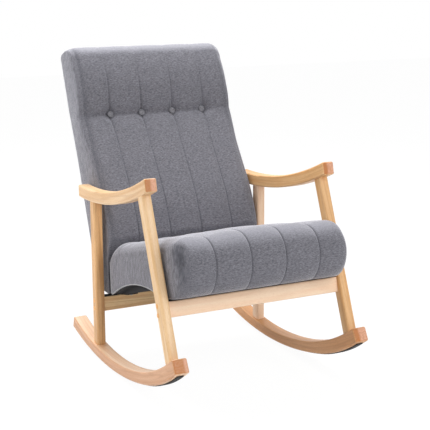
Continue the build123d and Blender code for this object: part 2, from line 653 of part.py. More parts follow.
# Dust cover under the seat, turned up inside the arches
with BuildPart() as dust_cover:
    with Locations(on_seat(middle(SEAT_POCKET_S), 0, DUST_T)):
        Box(length(SEAT_POCKET_S) - 2, 2 * DUST_HALF, DUST_THICK, align=ABOVE)
    for side in SIDES.values():
        with Locations(on_seat(middle(DUST_UPSTAND_S), side * (DUST_HALF - DUST_THICK / 2), DUST_T)):
            Box(length(DUST_UPSTAND_S), DUST_THICK, DUST_UPSTAND_T, align=ABOVE)
    with Locations(*FRONT_FIXINGS):
        Cylinder(FIXING_R + SLACK, FIXING_HOLE_LONG, align=ABOVE, mode=Mode.SUBTRACT)
    with Locations(*SCREWS):
        Cylinder(SCREW_R + SLACK, SCREW_LONG, align=ABOVE, mode=Mode.SUBTRACT)
write(dust_cover, "seat_dust_cover")


def back_section(x, place):
    """Side-view section of the back at x, which is on a seam, a crown, a front edge or a side panel."""
    long = BACK_LONG[place]
    swell = HEAD_SWELL[place]
    rear_foot = BACK_CORNER
    front_foot = (BACK_FRONT_FOOT_Y, BACK_CORNER[1])
    tuck = (BACK_FRONT_FOOT_Y, BACK_TUCK_Z)
    low_points = (BACK_WAIST, BACK_LUMBAR, BACK_LUMBAR_TOP, BACK_RUN)
    waist, lumbar, lumbar_top, run = (back_point(a, b + BACK_SWELL[place]) for a, b in low_points)
    button_line = back_point(BUTTON_A, CREASE_B[place])
    headrest = back_point(BACK_HEADREST[0], BACK_HEADREST[1] + swell)
    brow = back_point(long - BACK_BROW_DOWN[place], BACK_BROW_B + swell)
    crest = back_point(long - BACK_CREST_DOWN[place], BACK_CREST_B[place] + swell / 2)
    top = back_point(long, BACK_TOP_B[place])
    top_rear = back_point(long, BACK_REAR_ROUND)
    corner_in = BACK_REAR_ROUND * (1 - sqrt(0.5))
    rear_corner = back_point(long - corner_in, corner_in)
    rear_top = back_point(long - BACK_REAR_ROUND, 0)
    with BuildSketch(Plane.YZ.offset(x)) as section:
        with BuildLine():
            Polyline(rear_foot, front_foot, tuck, waist)
            ThreePointArc(waist, lumbar, lumbar_top)
            ThreePointArc(lumbar_top, run, button_line)
            ThreePointArc(button_line, headrest, brow)
            ThreePointArc(brow, crest, top)
            Line(top, top_rear)
            ThreePointArc(top_rear, rear_corner, rear_top)
            Line(rear_top, rear_foot)
        make_face()
    return section.sketch


def frame_line(ahead, low_a, high_a):
    """Side-view points along the back frame's front edge, moved ahead of it."""
    heights = [low_a, *(a for a, b in FRAME_FRONT if low_a < a < high_a), high_a]
    return [back_point(a, frame_front_b(a) + ahead) for a in heights]


def back_foam_face():
    """Side-view face of the foam, from the webbing to the cover."""
    rear = frame_line(BACK_FOAM_AHEAD, *BACK_FOAM_A)
    front = [back_point(a, b) for a, b in BACK_FOAM_FRONT]
    with BuildSketch(Plane.YZ) as face:
        Polygon(*rear, *front, align=None)
    return face.sketch


def back_pocket_face():
    """Side-view face of the hollow behind the foam, open at the rear."""
    foot = (STILE_FOOT_Y - BACK_POCKET_AHEAD, middle(FOOT_BOARD_Z))
    front = frame_line(BACK_POCKET_AHEAD, FRAME_FRONT[0][0], BACK_POCKET_A[1])
    rear = [back_point(BACK_POCKET_A[1], -CUT_PAST), back_point(BACK_POCKET_A[0], -CUT_PAST)]
    with BuildSketch(Plane.YZ) as face:
        Polygon(foot, *front, *rear, align=None)
    return face.sketch


# Back cushion: a loft for each channel, dimples for the buttons, and a pocket behind for its frame
with BuildPart() as back_cushion:
    for start, end in zip(CHANNEL_SEAMS, CHANNEL_SEAMS[1:]):
        crown = back_section((start + end) / 2, "crown")
        loft(sections=[back_section(start, "seam"), crown, back_section(end, "seam")])
    for side in SIDES.values():
        seam = back_section(side * CHANNEL_SEAMS[-1], "seam")
        crown = back_section(side * BACK_SIDE_CROWN_X, "crown")
        edge = back_section(side * BACK_SIDE_EDGE_X, "edge")
        panel = back_section(side * BACK_HALF, "side")
        loft(sections=[seam, crown, edge, panel])
    with Locations(*[place * Location((0, 0, DIMPLE_R)) for place in BUTTONS]):
        Sphere(DIMPLE_R, mode=Mode.SUBTRACT)
    with Locations(*BUTTONS):
        Cylinder(BUTTON_R + SLACK, DIMPLE_R, align=ABOVE, mode=Mode.SUBTRACT)
    extrude(to_extrude=back_pocket_face(), amount=BACK_POCKET_HALF, both=True, mode=Mode.SUBTRACT)
    with Locations((0, middle(FOOT_BOARD_Y), middle(FOOT_SLOT_Z))):
        Box(2 * BACK_POCKET_HALF, length(FOOT_BOARD_Y) + 1, length(FOOT_SLOT_Z), mode=Mode.SUBTRACT)
    extrude(to_extrude=back_foam_face(), amount=BACK_FOAM_HALF, both=True, mode=Mode.SUBTRACT)
    with Locations(*BUTTONS):
        Cylinder(TIE_R + SLACK, CREASE_B["seam"], mode=Mode.SUBTRACT)
write(back_cushion, "back_cushion")

# Back foam
with BuildPart() as back_foam:
    extrude(to_extrude=back_foam_face(), amount=BACK_FOAM_HALF, both=True)
    with Locations(*BUTTONS):
        Cylinder(TIE_R + SLACK, CREASE_B["seam"], align=BELOW, mode=Mode.SUBTRACT)
write(back_foam, "back_foam")

# Back frame: two wedge-shaped stiles standing on a foot board, with three rails between them
for name, side in SIDES.items():
    foot_z = FOOT_BOARD_Z[1] + SLACK
    with BuildPart() as stile:
        with BuildSketch(Plane.YZ.offset(side * middle(STILE_X))):
            top_a = FRAME_FRONT[-1][0]
            front = frame_line(0, FRAME_FRONT[0][0], top_a)
            rear = [back_point(top_a, STILE_REAR_B), (FOOT_BOARD_Y[1], foot_z)]
            Polygon((STILE_FOOT_Y, foot_z), *front, *rear, align=None)
        extrude(amount=length(STILE_X) / 2, both=True)
    write(stile, f"back_stile_{name}")

for name, rail_a in BACK_RAILS.items():
    front_b = min(frame_front_b(a) for a in rail_a)
    with BuildPart() as back_rail:
        with Locations(on_back(middle(rail_a), 0, front_b - BACK_RAIL_THICK / 2)):
            Box(BACK_RAIL_THICK, 2 * (STILE_X[0] - SLACK), length(rail_a))
    write(back_rail, name)

with BuildPart() as foot_board:
    with Locations((0, middle(FOOT_BOARD_Y), FOOT_BOARD_Z[0])):
        Box(2 * FOOT_BOARD_HALF, length(FOOT_BOARD_Y), length(FOOT_BOARD_Z), align=ABOVE)
    with Locations(*REAR_FIXINGS):
        Cylinder(INSERT_R + SLACK, FIXING_HOLE_LONG, align=ABOVE, mode=Mode.SUBTRACT)
    with Locations(*SCREWS):
        Cylinder(SCREW_R + SLACK, SCREW_LONG + 1, align=ABOVE, mode=Mode.SUBTRACT)
write(foot_board, "back_foot_board")

# Webbing straps across the stiles, and the fabric panel that closes the back
with BuildPart() as back_webbing:
    for a in BACK_STRAP_A:
        strap_a = (a - STRAP_WIDE / 2, a + STRAP_WIDE / 2)
        rear = frame_line(SLACK, *strap_a)
        front = frame_line(SLACK + STRAP_THICK, *strap_a)
        with BuildSketch(Plane.YZ):
            Polygon(*rear, *reversed(front), align=None)
        extrude(amount=STILE_X[1], both=True)
write(back_webbing, "back_webbing")

with BuildPart() as rear_cover:
    with Locations(on_back(middle(BACK_POCKET_A), 0, REAR_COVER_THICK / 2)):
        Box(REAR_COVER_THICK, 2 * (BACK_POCKET_HALF - SLACK), length(BACK_POCKET_A) - 1)
    with Locations((0, middle(FOOT_BOARD_Y), middle(FOOT_SLOT_Z))):
        Box(2 * BACK_POCKET_HALF, length(FOOT_BOARD_Y) + 2, length(FOOT_SLOT_Z), mode=Mode.SUBTRACT)
write(rear_cover, "back_rear_cover")

# Buttons and the ties that pull them to the button rail
with BuildPart() as buttons:
    with Locations(*BUTTONS):
        with Locations((0, 0, SLACK)):
            Cylinder(BUTTON_R, BUTTON_THICK, align=ABOVE)
    fillet(buttons.edges().filter_by(GeomType.CIRCLE), BUTTON_ROUND)
write(buttons, "back_buttons")

with BuildPart() as button_ties:
    with Locations(*BUTTONS):
        Cylinder(TIE_R, CREASE_B["seam"] - DIMPLE_DEEP - frame_front_b(BUTTON_A) - SLACK, align=BELOW)
write(button_ties, "button_ties")

# Bent steel plates that join the seat to the back
for name, side in SIDES.items():
    bend_y = SEAT_CORNER[0] - PLATE_THICK * tan(radians(SEAT_TILT / 2))
    with BuildPart() as plate:
        with BuildSketch(Plane.YZ.offset(side * PLATE_X)):
            with BuildLine():
                Polyline(
                    (PLATE_REAR_Y, SEAT_CORNER[1]),
                    SEAT_CORNER,
                    seat_point(PLATE_FRONT_S, 0),
                    seat_point(PLATE_FRONT_S, -PLATE_THICK),
                    (bend_y, SEAT_CORNER[1] - PLATE_THICK),
                    (PLATE_REAR_Y, SEAT_CORNER[1] - PLATE_THICK),
                    close=True,
                )
            make_face()
        extrude(amount=PLATE_WIDE / 2, both=True)
        with Locations(*SCREWS):
            Cylinder(SCREW_R + SLACK, 3 * PLATE_THICK, mode=Mode.SUBTRACT)
        with Locations(*REAR_FIXINGS):
            Cylinder(FIXING_R + SLACK, FIXING_HOLE_LONG, align=ABOVE, mode=Mode.SUBTRACT)
    write(plate, f"joining_plate_{name}")

with BuildPart() as plate_screws:
    with Locations(*SCREWS):
        Cylinder(SCREW_R, SCREW_LONG, align=ABOVE)
        Cylinder(SCREW_HEAD_R, SCREW_HEAD_HIGH, align=BELOW)
write(plate_screws, "plate_screws")

# Bolts that come up through the rails, with washers, threaded inserts and the rear spacers
with BuildPart() as fixing_bolts:
    for places, bolt_long in ((FRONT_FIXINGS, FRONT_FIXING_LONG), (REAR_FIXINGS, REAR_FIXING_LONG)):
        with Locations(*[place * Location((0, 0, FIXING_RECESS - WASHER_THICK)) for place in places]):
            Cylinder(FIXING_R, bolt_long, align=ABOVE)
            Cylinder(FIXING_HEAD_R, FIXING_HEAD_HIGH, align=BELOW)
write(fixing_bolts, "seat_fixing_bolts")

with BuildPart() as washers:
    with Locations(*[place * Location((0, 0, FIXING_RECESS)) for place in FRONT_FIXINGS + REAR_FIXINGS]):
        Cylinder(WASHER_R, WASHER_THICK, align=BELOW)
        Cylinder(FIXING_R + SLACK, FIXING_HOLE_LONG, mode=Mode.SUBTRACT)
write(washers, "seat_fixing_washers")

with BuildPart() as inserts:
    for places, up in ((FRONT_FIXINGS, FRONT_INSERT_UP), (REAR_FIXINGS, REAR_INSERT_UP)):
        with Locations(*[place * Location((0, 0, up)) for place in places]):
            Cylinder(INSERT_R, INSERT_LONG, align=ABOVE)
            Cylinder(FIXING_R + SLACK / 2, 2 * INSERT_LONG, mode=Mode.SUBTRACT)
write(inserts, "threaded_inserts")

spacer_z = (REAR_RAIL_TOP + REAR_PAD_THICK, SEAT_CORNER[1] - PLATE_THICK)
with BuildPart() as spacers:
    with Locations(*[Location((side * PLATE_X, REAR_RAIL_Y, spacer_z[0])) for side in SIDES.values()]):
        Cylinder(SPACER_R, length(spacer_z), align=ABOVE)
        Cylinder(FIXING_R + SLACK, 2 * length(spacer_z), align=ABOVE, mode=Mode.SUBTRACT)
write(spacers, "rear_spacers")
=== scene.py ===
"""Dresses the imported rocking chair: covers, cloth, felt, buttons, materials, floor, light and camera."""

from math import atan2, cos, exp, hypot, pi, radians, sin, sqrt

import bpy
import numpy as np
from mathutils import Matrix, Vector, noise


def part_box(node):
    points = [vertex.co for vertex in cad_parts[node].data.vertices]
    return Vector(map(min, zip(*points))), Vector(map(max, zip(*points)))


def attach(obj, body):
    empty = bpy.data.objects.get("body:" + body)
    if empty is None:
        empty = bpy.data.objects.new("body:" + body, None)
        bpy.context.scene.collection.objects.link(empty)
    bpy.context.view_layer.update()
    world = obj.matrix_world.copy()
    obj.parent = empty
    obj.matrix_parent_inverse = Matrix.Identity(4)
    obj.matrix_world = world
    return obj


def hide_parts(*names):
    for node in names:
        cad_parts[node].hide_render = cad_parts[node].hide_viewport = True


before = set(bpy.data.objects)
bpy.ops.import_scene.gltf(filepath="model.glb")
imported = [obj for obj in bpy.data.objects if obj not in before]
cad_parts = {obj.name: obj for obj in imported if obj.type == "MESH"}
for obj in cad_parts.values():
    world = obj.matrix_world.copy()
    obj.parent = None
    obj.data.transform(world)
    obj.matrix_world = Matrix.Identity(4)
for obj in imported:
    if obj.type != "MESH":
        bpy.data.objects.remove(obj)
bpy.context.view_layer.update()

MM = 0.001

# Seat: s runs forward along its underside, t stands up from it, in millimetres
SEAT_TILT = radians(13.7)
SEAT_CORNER = (104, 209)
SEAT_HALF = 272
SEAT_REAR_S = 26
SEAT_NOSE = (600, 88)
SEAT_BROW_S = 545
SEAT_THICK = 168
SEAT_CREST = (130, 12)
SEAT_REAR_CORNER = (60, 26)
SEAT_HEEL = (42, 0.74)
SEAT_TOE_BACK = 70
SEAT_UNDER_NOSE = (22, 31)
SEAT_OVER_NOSE = (14, 0.62)
SEAT_CROWN = 8
SEAT_DROP = 5  # how much lower the top is towards its sides
SEAT_DROP_X = (60, 160)
SEAT_DRAWN_IN = 26
SEAT_SIDE_CROWN_X = 224
SEAT_UNDER_T = 2.5
SEAT_BULGE = 2.5
SEAT_GROOVE = 2
SEAT_GROOVE_REACH = 2.2
# How much fuller the top is behind the brow, on a seam, on a crown and at the side panel
SEAT_LIFT = (13, 5, 2)
SEAT_LIFT_LOST = 0.6  # share of it that is lost towards the sides
SEAT_LIFT_GROWS = 260  # length from the crest over which it grows
SEAT_LIFT_ENDS = 40  # length over which it dies away towards the brow
SEAT_FOLD = 12  # how far the corner between the nose and a side panel is drawn in
SEAT_FOLD_AT = (264, 574, 120)
SEAT_FOLD_REACH = (13, 24)  # across X and along the seat
SEAT_FOLD_UP = 30
SEAT_FOLD_DOWN = 58
SEAT_FOLD_RIGHT = 0.15  # share of that depth in the right corner
ARCH_S = (30, 440)
ARCH_HIGH = 37
ARCH_FROM_X = 230
UNDER_RISE = 15  # how far the cloth below the seat is drawn up between the arches
UNDER_RISE_S = (106, 283, 330, 415)
SEAMS = (-168, -56, 56, 168)
CHANNEL_HALF = 56
PUFF_POWER = 2.3  # how full a stuffed channel is
ROLL_POWER = 2.2  # how round a rolled edge is

# Back: a runs up its rear face, b runs forward from it, in millimetres
BACK_TILT = radians(22)
BACK_CORNER = (209, 209)
BACK_HALF = 270
BACK_FOOT_Y = 108
BACK_TUCK_Z = 318
BACK_WAIST = (129, 180)
BACK_LUMBAR = (208, 182)
BACK_LUMBAR_TOP = (293, 169)
BACK_RUN = (430, 137)
BACK_HEADREST = (640, 124)
BACK_BROW_B = 114
BACK_REAR_ROUND = 14
BACK_SIDE_CROWN_X = 225
BACK_BULGE = 2
BACK_PANEL_SEAM_X = 263
BACK_HOLLOW = 3.5  # where a side panel is sewn to the front
BACK_HOLLOW_REACH = (11, 5)  # towards the middle and towards the side
BACK_RECESS = 4  # of the rear face, behind its panel
RECESS_HALF = 253
RECESS_A = (14, 758)
RECESS_EDGE = 8
HEAD_WIDER = 4  # how far the head swells out at each side
HEAD_WIDER_A = (430, 600)
FRONT_WIDER = 4  # how much further its front edges do, above the armrests
FRONT_WIDER_A = (430, 520, 570, 640)
FRONT_WIDER_SHARES = (0, 1, 0.8, 0)
FRONT_WIDER_B = (20, 80)
CREASE_SINK = 9
CREASE_UP = 9
CREASE_DOWN = 18
CREASE_LEAST = 0.55  # share of its depth away from the buttons
CREASE_NEAR = 22
CREASE_X = (-262, -200, 178, 235)
CREASE_SHARES = (0.5, 1, 1, 0.1)
SEAM_LIP = 1.3  # how far the overlapped side of a seam stands up
SEAM_LIP_OFF = 5
SEAM_LIP_REACH = 2.6
SEAM_SINK = (0.8, 1.4)  # at the buttons, and what it gains further down
SEAM_REACH = 2.4
SEAM_GROWS = 250
HEAD_SEAM_SINK = 3.2  # just above the buttons
HEAD_SEAM_REACH = (1.8, 5)  # where it runs out, and what it gains at the buttons
HEAD_SEAM_LONG = 190
DIMPLE_SINK = 3.5
DIMPLE_REACH = 15
BUTTON_A = 552
BUTTON_B = 94
BUTTON_R = 11
# Values of the back's section on a seam, on a crown and at the side panel
BACK_PLACES = {
    "long": (793.5, 795, 789),
    "swell": (0, 8, -17),
    "head_swell": (0, 9, -13),
    "brow_swell": (6, 8, -13),
    "brow_down": (47, 47, 72),
    "crest_down": (14, 14, 20),
    "crest_b": (97, 97, 92),
    "top_b": (62, 62, 47),
    "crease_b": (99, 113, 98),
}


def seat_point(s, t):
    """Side-view y, z of a point along and above the seat's underside."""
    return (SEAT_CORNER[0] - s * cos(SEAT_TILT) + t * sin(SEAT_TILT),
            SEAT_CORNER[1] + s * sin(SEAT_TILT) + t * cos(SEAT_TILT))


def back_point(a, b):
    """Side-view y, z of a point up and in front of the back's rear face."""
    return (BACK_CORNER[0] + a * sin(BACK_TILT) - b * cos(BACK_TILT),
            BACK_CORNER[1] + a * cos(BACK_TILT) + b * sin(BACK_TILT))


def to_back(y, z):
    """How far up and in front of the back's rear face a side-view point lies."""
    dy, dz = y - BACK_CORNER[0], z - BACK_CORNER[1]
    return (dy * sin(BACK_TILT) + dz * cos(BACK_TILT), -dy * cos(BACK_TILT) + dz * sin(BACK_TILT))


def line_points(start, end, count):
    """Points on the way from start, which is left out, to end."""
    return [tuple(p + (q - p) * k / count for p, q in zip(start, end)) for k in range(1, count + 1)]


def arc_points(start, through, end, count):
    """Points along the circle from start, which is left out, to end."""
    (ax, ay), (bx, by), (cx, cy) = start, through, end
    turn = 2 * (ax * (by - cy) + bx * (cy - ay) + cx * (ay - by))
    squares = [px * px + py * py for px, py in (start, through, end)]
    ux = (squares[0] * (by - cy) + squares[1] * (cy - ay) + squares[2] * (ay - by)) / turn
    uy = (squares[0] * (cx - bx) + squares[1] * (ax - cx) + squares[2] * (bx - ax)) / turn
    radius = hypot(ax - ux, ay - uy)
    first, middle, last = (atan2(py - uy, px - ux) for px, py in (start, through, end))
    sweep = (last - first) % (2 * pi)
    if (middle - first) % (2 * pi) > sweep:
        sweep -= 2 * pi
    angles = [first + sweep * k / count for k in range(1, count + 1)]
    return [(ux + radius * cos(angle), uy + radius * sin(angle)) for angle in angles]


def seam_distance(x):
    """How far x is from the nearest channel seam."""
    return min(abs(x - seam) for seam in SEAMS)


def puff(share):
    """Height of a stuffed channel, from 0 on its seam to 1 on its crown."""
    return 1 - (1 - min(share, 1)) ** PUFF_POWER


def rolled(share):
    """How far a rolled edge has turned in, from 0 where it starts to 1 at the side panel."""
    return 1 - sqrt(max(0, 1 - share**ROLL_POWER))


def across(x, seam, crown, side, side_crown_x, half):
    """A section's value at x, from its values on a seam, on a crown and at the side panel."""
    if abs(x) > side_crown_x:
        return crown + (side - crown) * rolled((abs(x) - side_crown_x) / (half - side_crown_x))
    reach = CHANNEL_HALF if abs(x) < SEAMS[-1] else side_crown_x - SEAMS[-1]
    return seam + (crown - seam) * puff(seam_distance(x) / reach)


def stations(half):
    """Places across a cushion, close together at the seams and at the rolled edges."""
    from_seam = (0, 1.6, 3.4, 6, 10, 16, 24, 34, 45)
    xs = {0.0}
    for seam in SEAMS:
        xs |= {seam + side * step for step in from_seam for side in (-1, 1)}
    middles = [(p + q) / 2 for p, q in zip(SEAMS, SEAMS[1:])]
    xs |= set(middles)
    edge = half - np.array([46, 38, 31, 25, 19.5, 14.5, 10.5, 7, 4.2, 2.2, 0.8, 0])
    xs |= {side * float(x) for x in edge for side in (-1, 1)}
    return sorted(xs)


def wrinkle(x, u, v):
    """Smooth uneven value from -1 to 1."""
    return noise.noise(Vector((x, u, v)))


def seat_rings(x):
    """Side-view points over and under the seat at x, both from its rear foot to its nose."""
    near = seam_distance(x)
    inset = across(x, 0, -SEAT_CROWN, SEAT_DRAWN_IN, SEAT_SIDE_CROWN_X, SEAT_HALF)
    inset += SEAT_GROOVE * exp(-((near / SEAT_GROOVE_REACH) ** 2))
    outward = float(np.interp(abs(x), SEAT_DROP_X, (0, 1)))
    top = SEAT_THICK - inset - SEAT_DROP * outward
    lift = across(x, *SEAT_LIFT, SEAT_SIDE_CROWN_X, SEAT_HALF) * (1 - SEAT_LIFT_LOST * outward)
    nose_s = SEAT_NOSE[0] - inset
    foot = (SEAT_REAR_S, SEAT_UNDER_T)
    heel = (SEAT_HEEL[0], SEAT_HEEL[1] * top)
    corner = (SEAT_REAR_CORNER[0], top - SEAT_REAR_CORNER[1])
    crest = (SEAT_CREST[0], top - SEAT_CREST[1])
    brow = (SEAT_BROW_S, top)
    over_nose = (nose_s - SEAT_OVER_NOSE[0], SEAT_NOSE[1] + SEAT_OVER_NOSE[1] * (top - SEAT_NOSE[1]))
    nose = (nose_s, SEAT_NOSE[1])
    under_nose = (nose_s - SEAT_UNDER_NOSE[0], SEAT_UNDER_NOSE[1])
    toe = (nose_s - SEAT_TOE_BACK, 0)
    over = [foot] + line_points(foot, heel, 8) + arc_points(heel, corner, crest, 16)
    over += [(s, t + lift * seat_fullness(s)) for s, t in line_points(crest, brow, 40)]
    over += arc_points(brow, over_nose, nose, 14)
    under = [foot] + line_points(foot, toe, 64) + arc_points(toe, under_nose, nose, 14)
    if abs(x) > ARCH_FROM_X:
        under = [(s, max(t, arch_t(s))) for s, t in under]
    else:
        under = [(s, max(t, SEAT_UNDER_T + under_rise(s)) if s < toe[0] - 1 else t) for s, t in under]
    return over, under


def seat_fullness(s):
    """How far the stuffing lifts the seat's top at s, from 0 at its ends to almost 1 behind the brow."""
    return (1 - exp((s - SEAT_BROW_S) / SEAT_LIFT_ENDS)) * min(1, (s - SEAT_CREST[0]) / SEAT_LIFT_GROWS)


def corner_fold(x, s, t):
    """How deep a point lies in the fold between the nose and a side panel, from 0 to 1 on the left."""
    fold_x, fold_s, fold_t = SEAT_FOLD_AT
    reach_x, reach_s = SEAT_FOLD_REACH
    up = (t - fold_t) / (SEAT_FOLD_UP if t > fold_t else SEAT_FOLD_DOWN)
    full = 1.0 if x < 0 else SEAT_FOLD_RIGHT
    return full * exp(-(((abs(x) - fold_x) / reach_x) ** 2) - ((s - fold_s) / reach_s) ** 2 - up**2)


def to_seat(y, z):
    """How far along and above the seat's underside a side-view point lies."""
    dy, dz = y - SEAT_CORNER[0], z - SEAT_CORNER[1]
    return -dy * cos(SEAT_TILT) + dz * sin(SEAT_TILT), dy * sin(SEAT_TILT) + dz * cos(SEAT_TILT)


def under_rise(s):
    """How far the seat's underside is drawn up at s."""
    return float(np.interp(s, UNDER_RISE_S, (0, UNDER_RISE, UNDER_RISE, 0)))


def arch_t(s):
    """Height of the arch in the lower edge of the seat's side panels."""
    half = (ARCH_S[1] - ARCH_S[0]) / 2
    radius = (half**2 + ARCH_HIGH**2) / (2 * ARCH_HIGH)
    off = s - ARCH_S[0] - half
    return max(0, sqrt(max(0, radius**2 - off**2)) - radius + ARCH_HIGH)


def back_rings(x):
    """Side-view points up the front and up the rear of the back at x, both from its foot to its top."""
    at = {key: across(x, *values, BACK_SIDE_CROWN_X, BACK_HALF) for key, values in BACK_PLACES.items()}
    low = [back_point(a, b + at["swell"]) for a, b in (BACK_WAIST, BACK_LUMBAR, BACK_LUMBAR_TOP, BACK_RUN)]
    waist, lumbar, lumbar_top, run = low
    long, swell = at["long"], at["head_swell"]
    foot, tuck = (BACK_FOOT_Y, BACK_CORNER[1]), (BACK_FOOT_Y, BACK_TUCK_Z)
    button_line = back_point(BUTTON_A, at["crease_b"])
    headrest = back_point(BACK_HEADREST[0], BACK_HEADREST[1] + swell)
    brow = back_point(long - at["brow_down"], BACK_BROW_B + at["brow_swell"])
    crest = back_point(long - at["crest_down"], at["crest_b"] + at["brow_swell"] / 2)
    top = back_point(long, at["top_b"])
    front = [foot] + line_points(foot, tuck, 10) + line_points(tuck, waist, 9)
    front += arc_points(waist, lumbar, lumbar_top, 18) + arc_points(lumbar_top, run, button_line, 30)
    front += arc_points(button_line, headrest, brow, 24) + arc_points(brow, crest, top, 12)
    corner_in = BACK_REAR_ROUND * (1 - sqrt(0.5))
    rear_top = back_point(long - BACK_REAR_ROUND, 0)
    rear_corner = back_point(long - corner_in, corner_in)
    top_rear = back_point(long, BACK_REAR_ROUND)
    rear = [BACK_CORNER] + line_points(BACK_CORNER, rear_top, 90)
    rear += arc_points(rear_top, rear_corner, top_rear, 6) + line_points(top_rear, top, 7)
    return [back_front_detail(x, y, z) for y, z in front], [rear_recess(x, y, z) for y, z in rear]


def rear_recess(x, y, z):
    """Draws in the rear face where its own fabric panel closes it."""
    a, b = to_back(y, z)
    sideways = min(1, max(0, (RECESS_HALF - abs(x)) / RECESS_EDGE))
    inside = sideways * min(1, max(0, min(a - RECESS_A[0], RECESS_A[1] - a) / RECESS_EDGE))
    return back_point(a, b + BACK_RECESS * inside * (b < 1))


def crease_share(x):
    """How much of the crease is left at x: it runs out towards the side panels, the right one first."""
    return float(np.interp(x, CREASE_X, CREASE_SHARES))


def back_front_detail(x, y, z):
    """Sewn grooves, the crease and the buttons' dimples on a point of the back's front."""
    a, b = to_back(y, z)
    near = seam_distance(x)
    off = abs(x) - BACK_PANEL_SEAM_X
    inner_reach, outer_reach = BACK_HOLLOW_REACH
    sink = BACK_HOLLOW * exp(-((off / (inner_reach if off < 0 else outer_reach)) ** 2))
    if BACK_WAIST[0] < a:
        above = a - BUTTON_A
        if above > 0:
            fade = max(0, 1 - above / HEAD_SEAM_LONG)
            reach = HEAD_SEAM_REACH[0] + HEAD_SEAM_REACH[1] * fade**2
            sink += HEAD_SEAM_SINK * fade * exp(-((near / reach) ** 2))
        else:
            depth = SEAM_SINK[0] + SEAM_SINK[1] * min(1, -above / SEAM_GROWS)
            sink += depth * exp(-((near / SEAM_REACH) ** 2))
        sink -= SEAM_LIP * max(exp(-(((x - seam + SEAM_LIP_OFF) / SEAM_LIP_REACH) ** 2)) for seam in SEAMS)
        fold = exp(-above / CREASE_UP) if above > 0 else exp(above / CREASE_DOWN)
        at_button = CREASE_LEAST + (1 - CREASE_LEAST) * exp(-near / CREASE_NEAR)
        sink += CREASE_SINK * fold * at_button * crease_share(x)
        sink += DIMPLE_SINK * exp(-((near**2 + above**2) / DIMPLE_REACH**2))
    return back_point(a, b - sink)


PANEL_ROWS = 9  # faces across a side panel


def cushion_ring(one, other, bottom_count):
    """Points once round a section: along one line, back along the other and over an open bottom."""
    if not bottom_count:
        return one + other[-2:0:-1]
    return one + other[-2::-1] + line_points(other[0], one[0], bottom_count + 1)[:-1]


def side_panel(points, ring, steps, side, bottom_count, bulge):
    """Faces that close a cushion at one side, a little bulged. Their inner points join the list of points."""
    one = [ring[k] for k in range(steps + 1)]
    other = [ring[(2 * steps - k) % len(ring)] for k in range(steps + 1)]
    if not bottom_count:
        other[0] = one[0]
    grid = []
    for k in range(steps + 1):
        if one[k] == other[k]:
            grid.append([one[k]] * (PANEL_ROWS + 1))
            continue
        column = [one[k]]
        start, end = np.array(points[one[k]]), np.array(points[other[k]])
        for row in range(1, PANEL_ROWS):
            share = row / PANEL_ROWS
            if k == 0 and bottom_count:
                column.append(ring[-round((1 - share) * (bottom_count + 1))])
                continue
            place = start + (end - start) * share
            swell = sin(pi * share) * sin(pi * k / steps)
            place[0] += side * bulge * sqrt(max(0, swell))
            column.append(len(points))
            points.append(tuple(place))
        column.append(other[k])
        grid.append(column)
    faces = []
    for p, q in zip(grid, grid[1:]):
        for row in range(PANEL_ROWS):
            corners = [p[row], p[row + 1], q[row + 1], q[row]]
            face = [c for i, c in enumerate(corners) if c not in corners[:i]]
            if len(face) > 2:
                faces.append(tuple(face if side < 0 else face[::-1]))
    return faces


def closed_cushion(name, xs, rings, to_yz, bottom_count, bulge):
    """Mesh of rings across X, closed by a side panel at each end."""
    points, ring_index, faces = [], [], []
    for x in xs:
        one, other = rings(x)
        loop = cushion_ring(one, other, bottom_count)
        ring_index.append(range(len(points), len(points) + len(loop)))
        points += [(x, *to_yz(*p)) for p in loop]
    for left, right in zip(ring_index, ring_index[1:]):
        for k in range(len(left)):
            n = (k + 1) % len(left)
            faces.append((left[k], left[n], right[n], right[k]))
    for ring, side in ((ring_index[0], -1), (ring_index[-1], 1)):
        faces += side_panel(points, ring, len(one) - 1, side, bottom_count, bulge)
    return new_mesh(name, np.array(points) * MM, faces)


def new_mesh(name, points, faces):
    """Smooth-shaded object made of points and faces, in metres."""
    mesh = bpy.data.meshes.new(name)
    mesh.from_pydata([tuple(map(float, p)) for p in points], [], faces)
    mesh.validate()
    mesh.polygons.foreach_set("use_smooth", [True] * len(mesh.polygons))
    obj = bpy.data.objects.new(name, mesh)
    bpy.context.scene.collection.objects.link(obj)
    return obj


def draw_in_corners(cover):
    """Draws in the two upright corners of the seat's nose."""
    for vertex in cover.data.vertices:
        x, y, z = vertex.co / MM
        s, t = to_seat(y, z)
        sink = SEAT_FOLD * corner_fold(x, s, t) * sqrt(0.5)
        inward = sink if x < 0 else -sink
        vertex.co = Vector((x + inward, *seat_point(s - sink, t))) * MM


def swell_head(cover):
    """Widens the back above the armrests: towards its top, and more at its front edges."""
    for vertex in cover.data.vertices:
        x, y, z = vertex.co / MM
        a, b = to_back(y, z)
        wider = HEAD_WIDER * float(np.interp(a, HEAD_WIDER_A, (0, 1)))
        at_front = np.interp(a, FRONT_WIDER_A, FRONT_WIDER_SHARES) * np.interp(b, FRONT_WIDER_B, (0, 1))
        vertex.co.x += (wider + FRONT_WIDER * float(at_front)) * MM * x / BACK_HALF


seat_cover = closed_cushion("seat_cover", stations(SEAT_HALF), seat_rings, seat_point, 0, SEAT_BULGE)
back_cover = closed_cushion("back_cover", stations(BACK_HALF), back_rings, lambda y, z: (y, z), 8, BACK_BULGE)
draw_in_corners(seat_cover)
swell_head(back_cover)
covered_nodes = (("seat_cushion", "seat_foam"), ("back_cushion", "back_foam"))
for cover, nodes in zip((seat_cover, back_cover), covered_nodes):
    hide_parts(*nodes)
    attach(cover, "root")

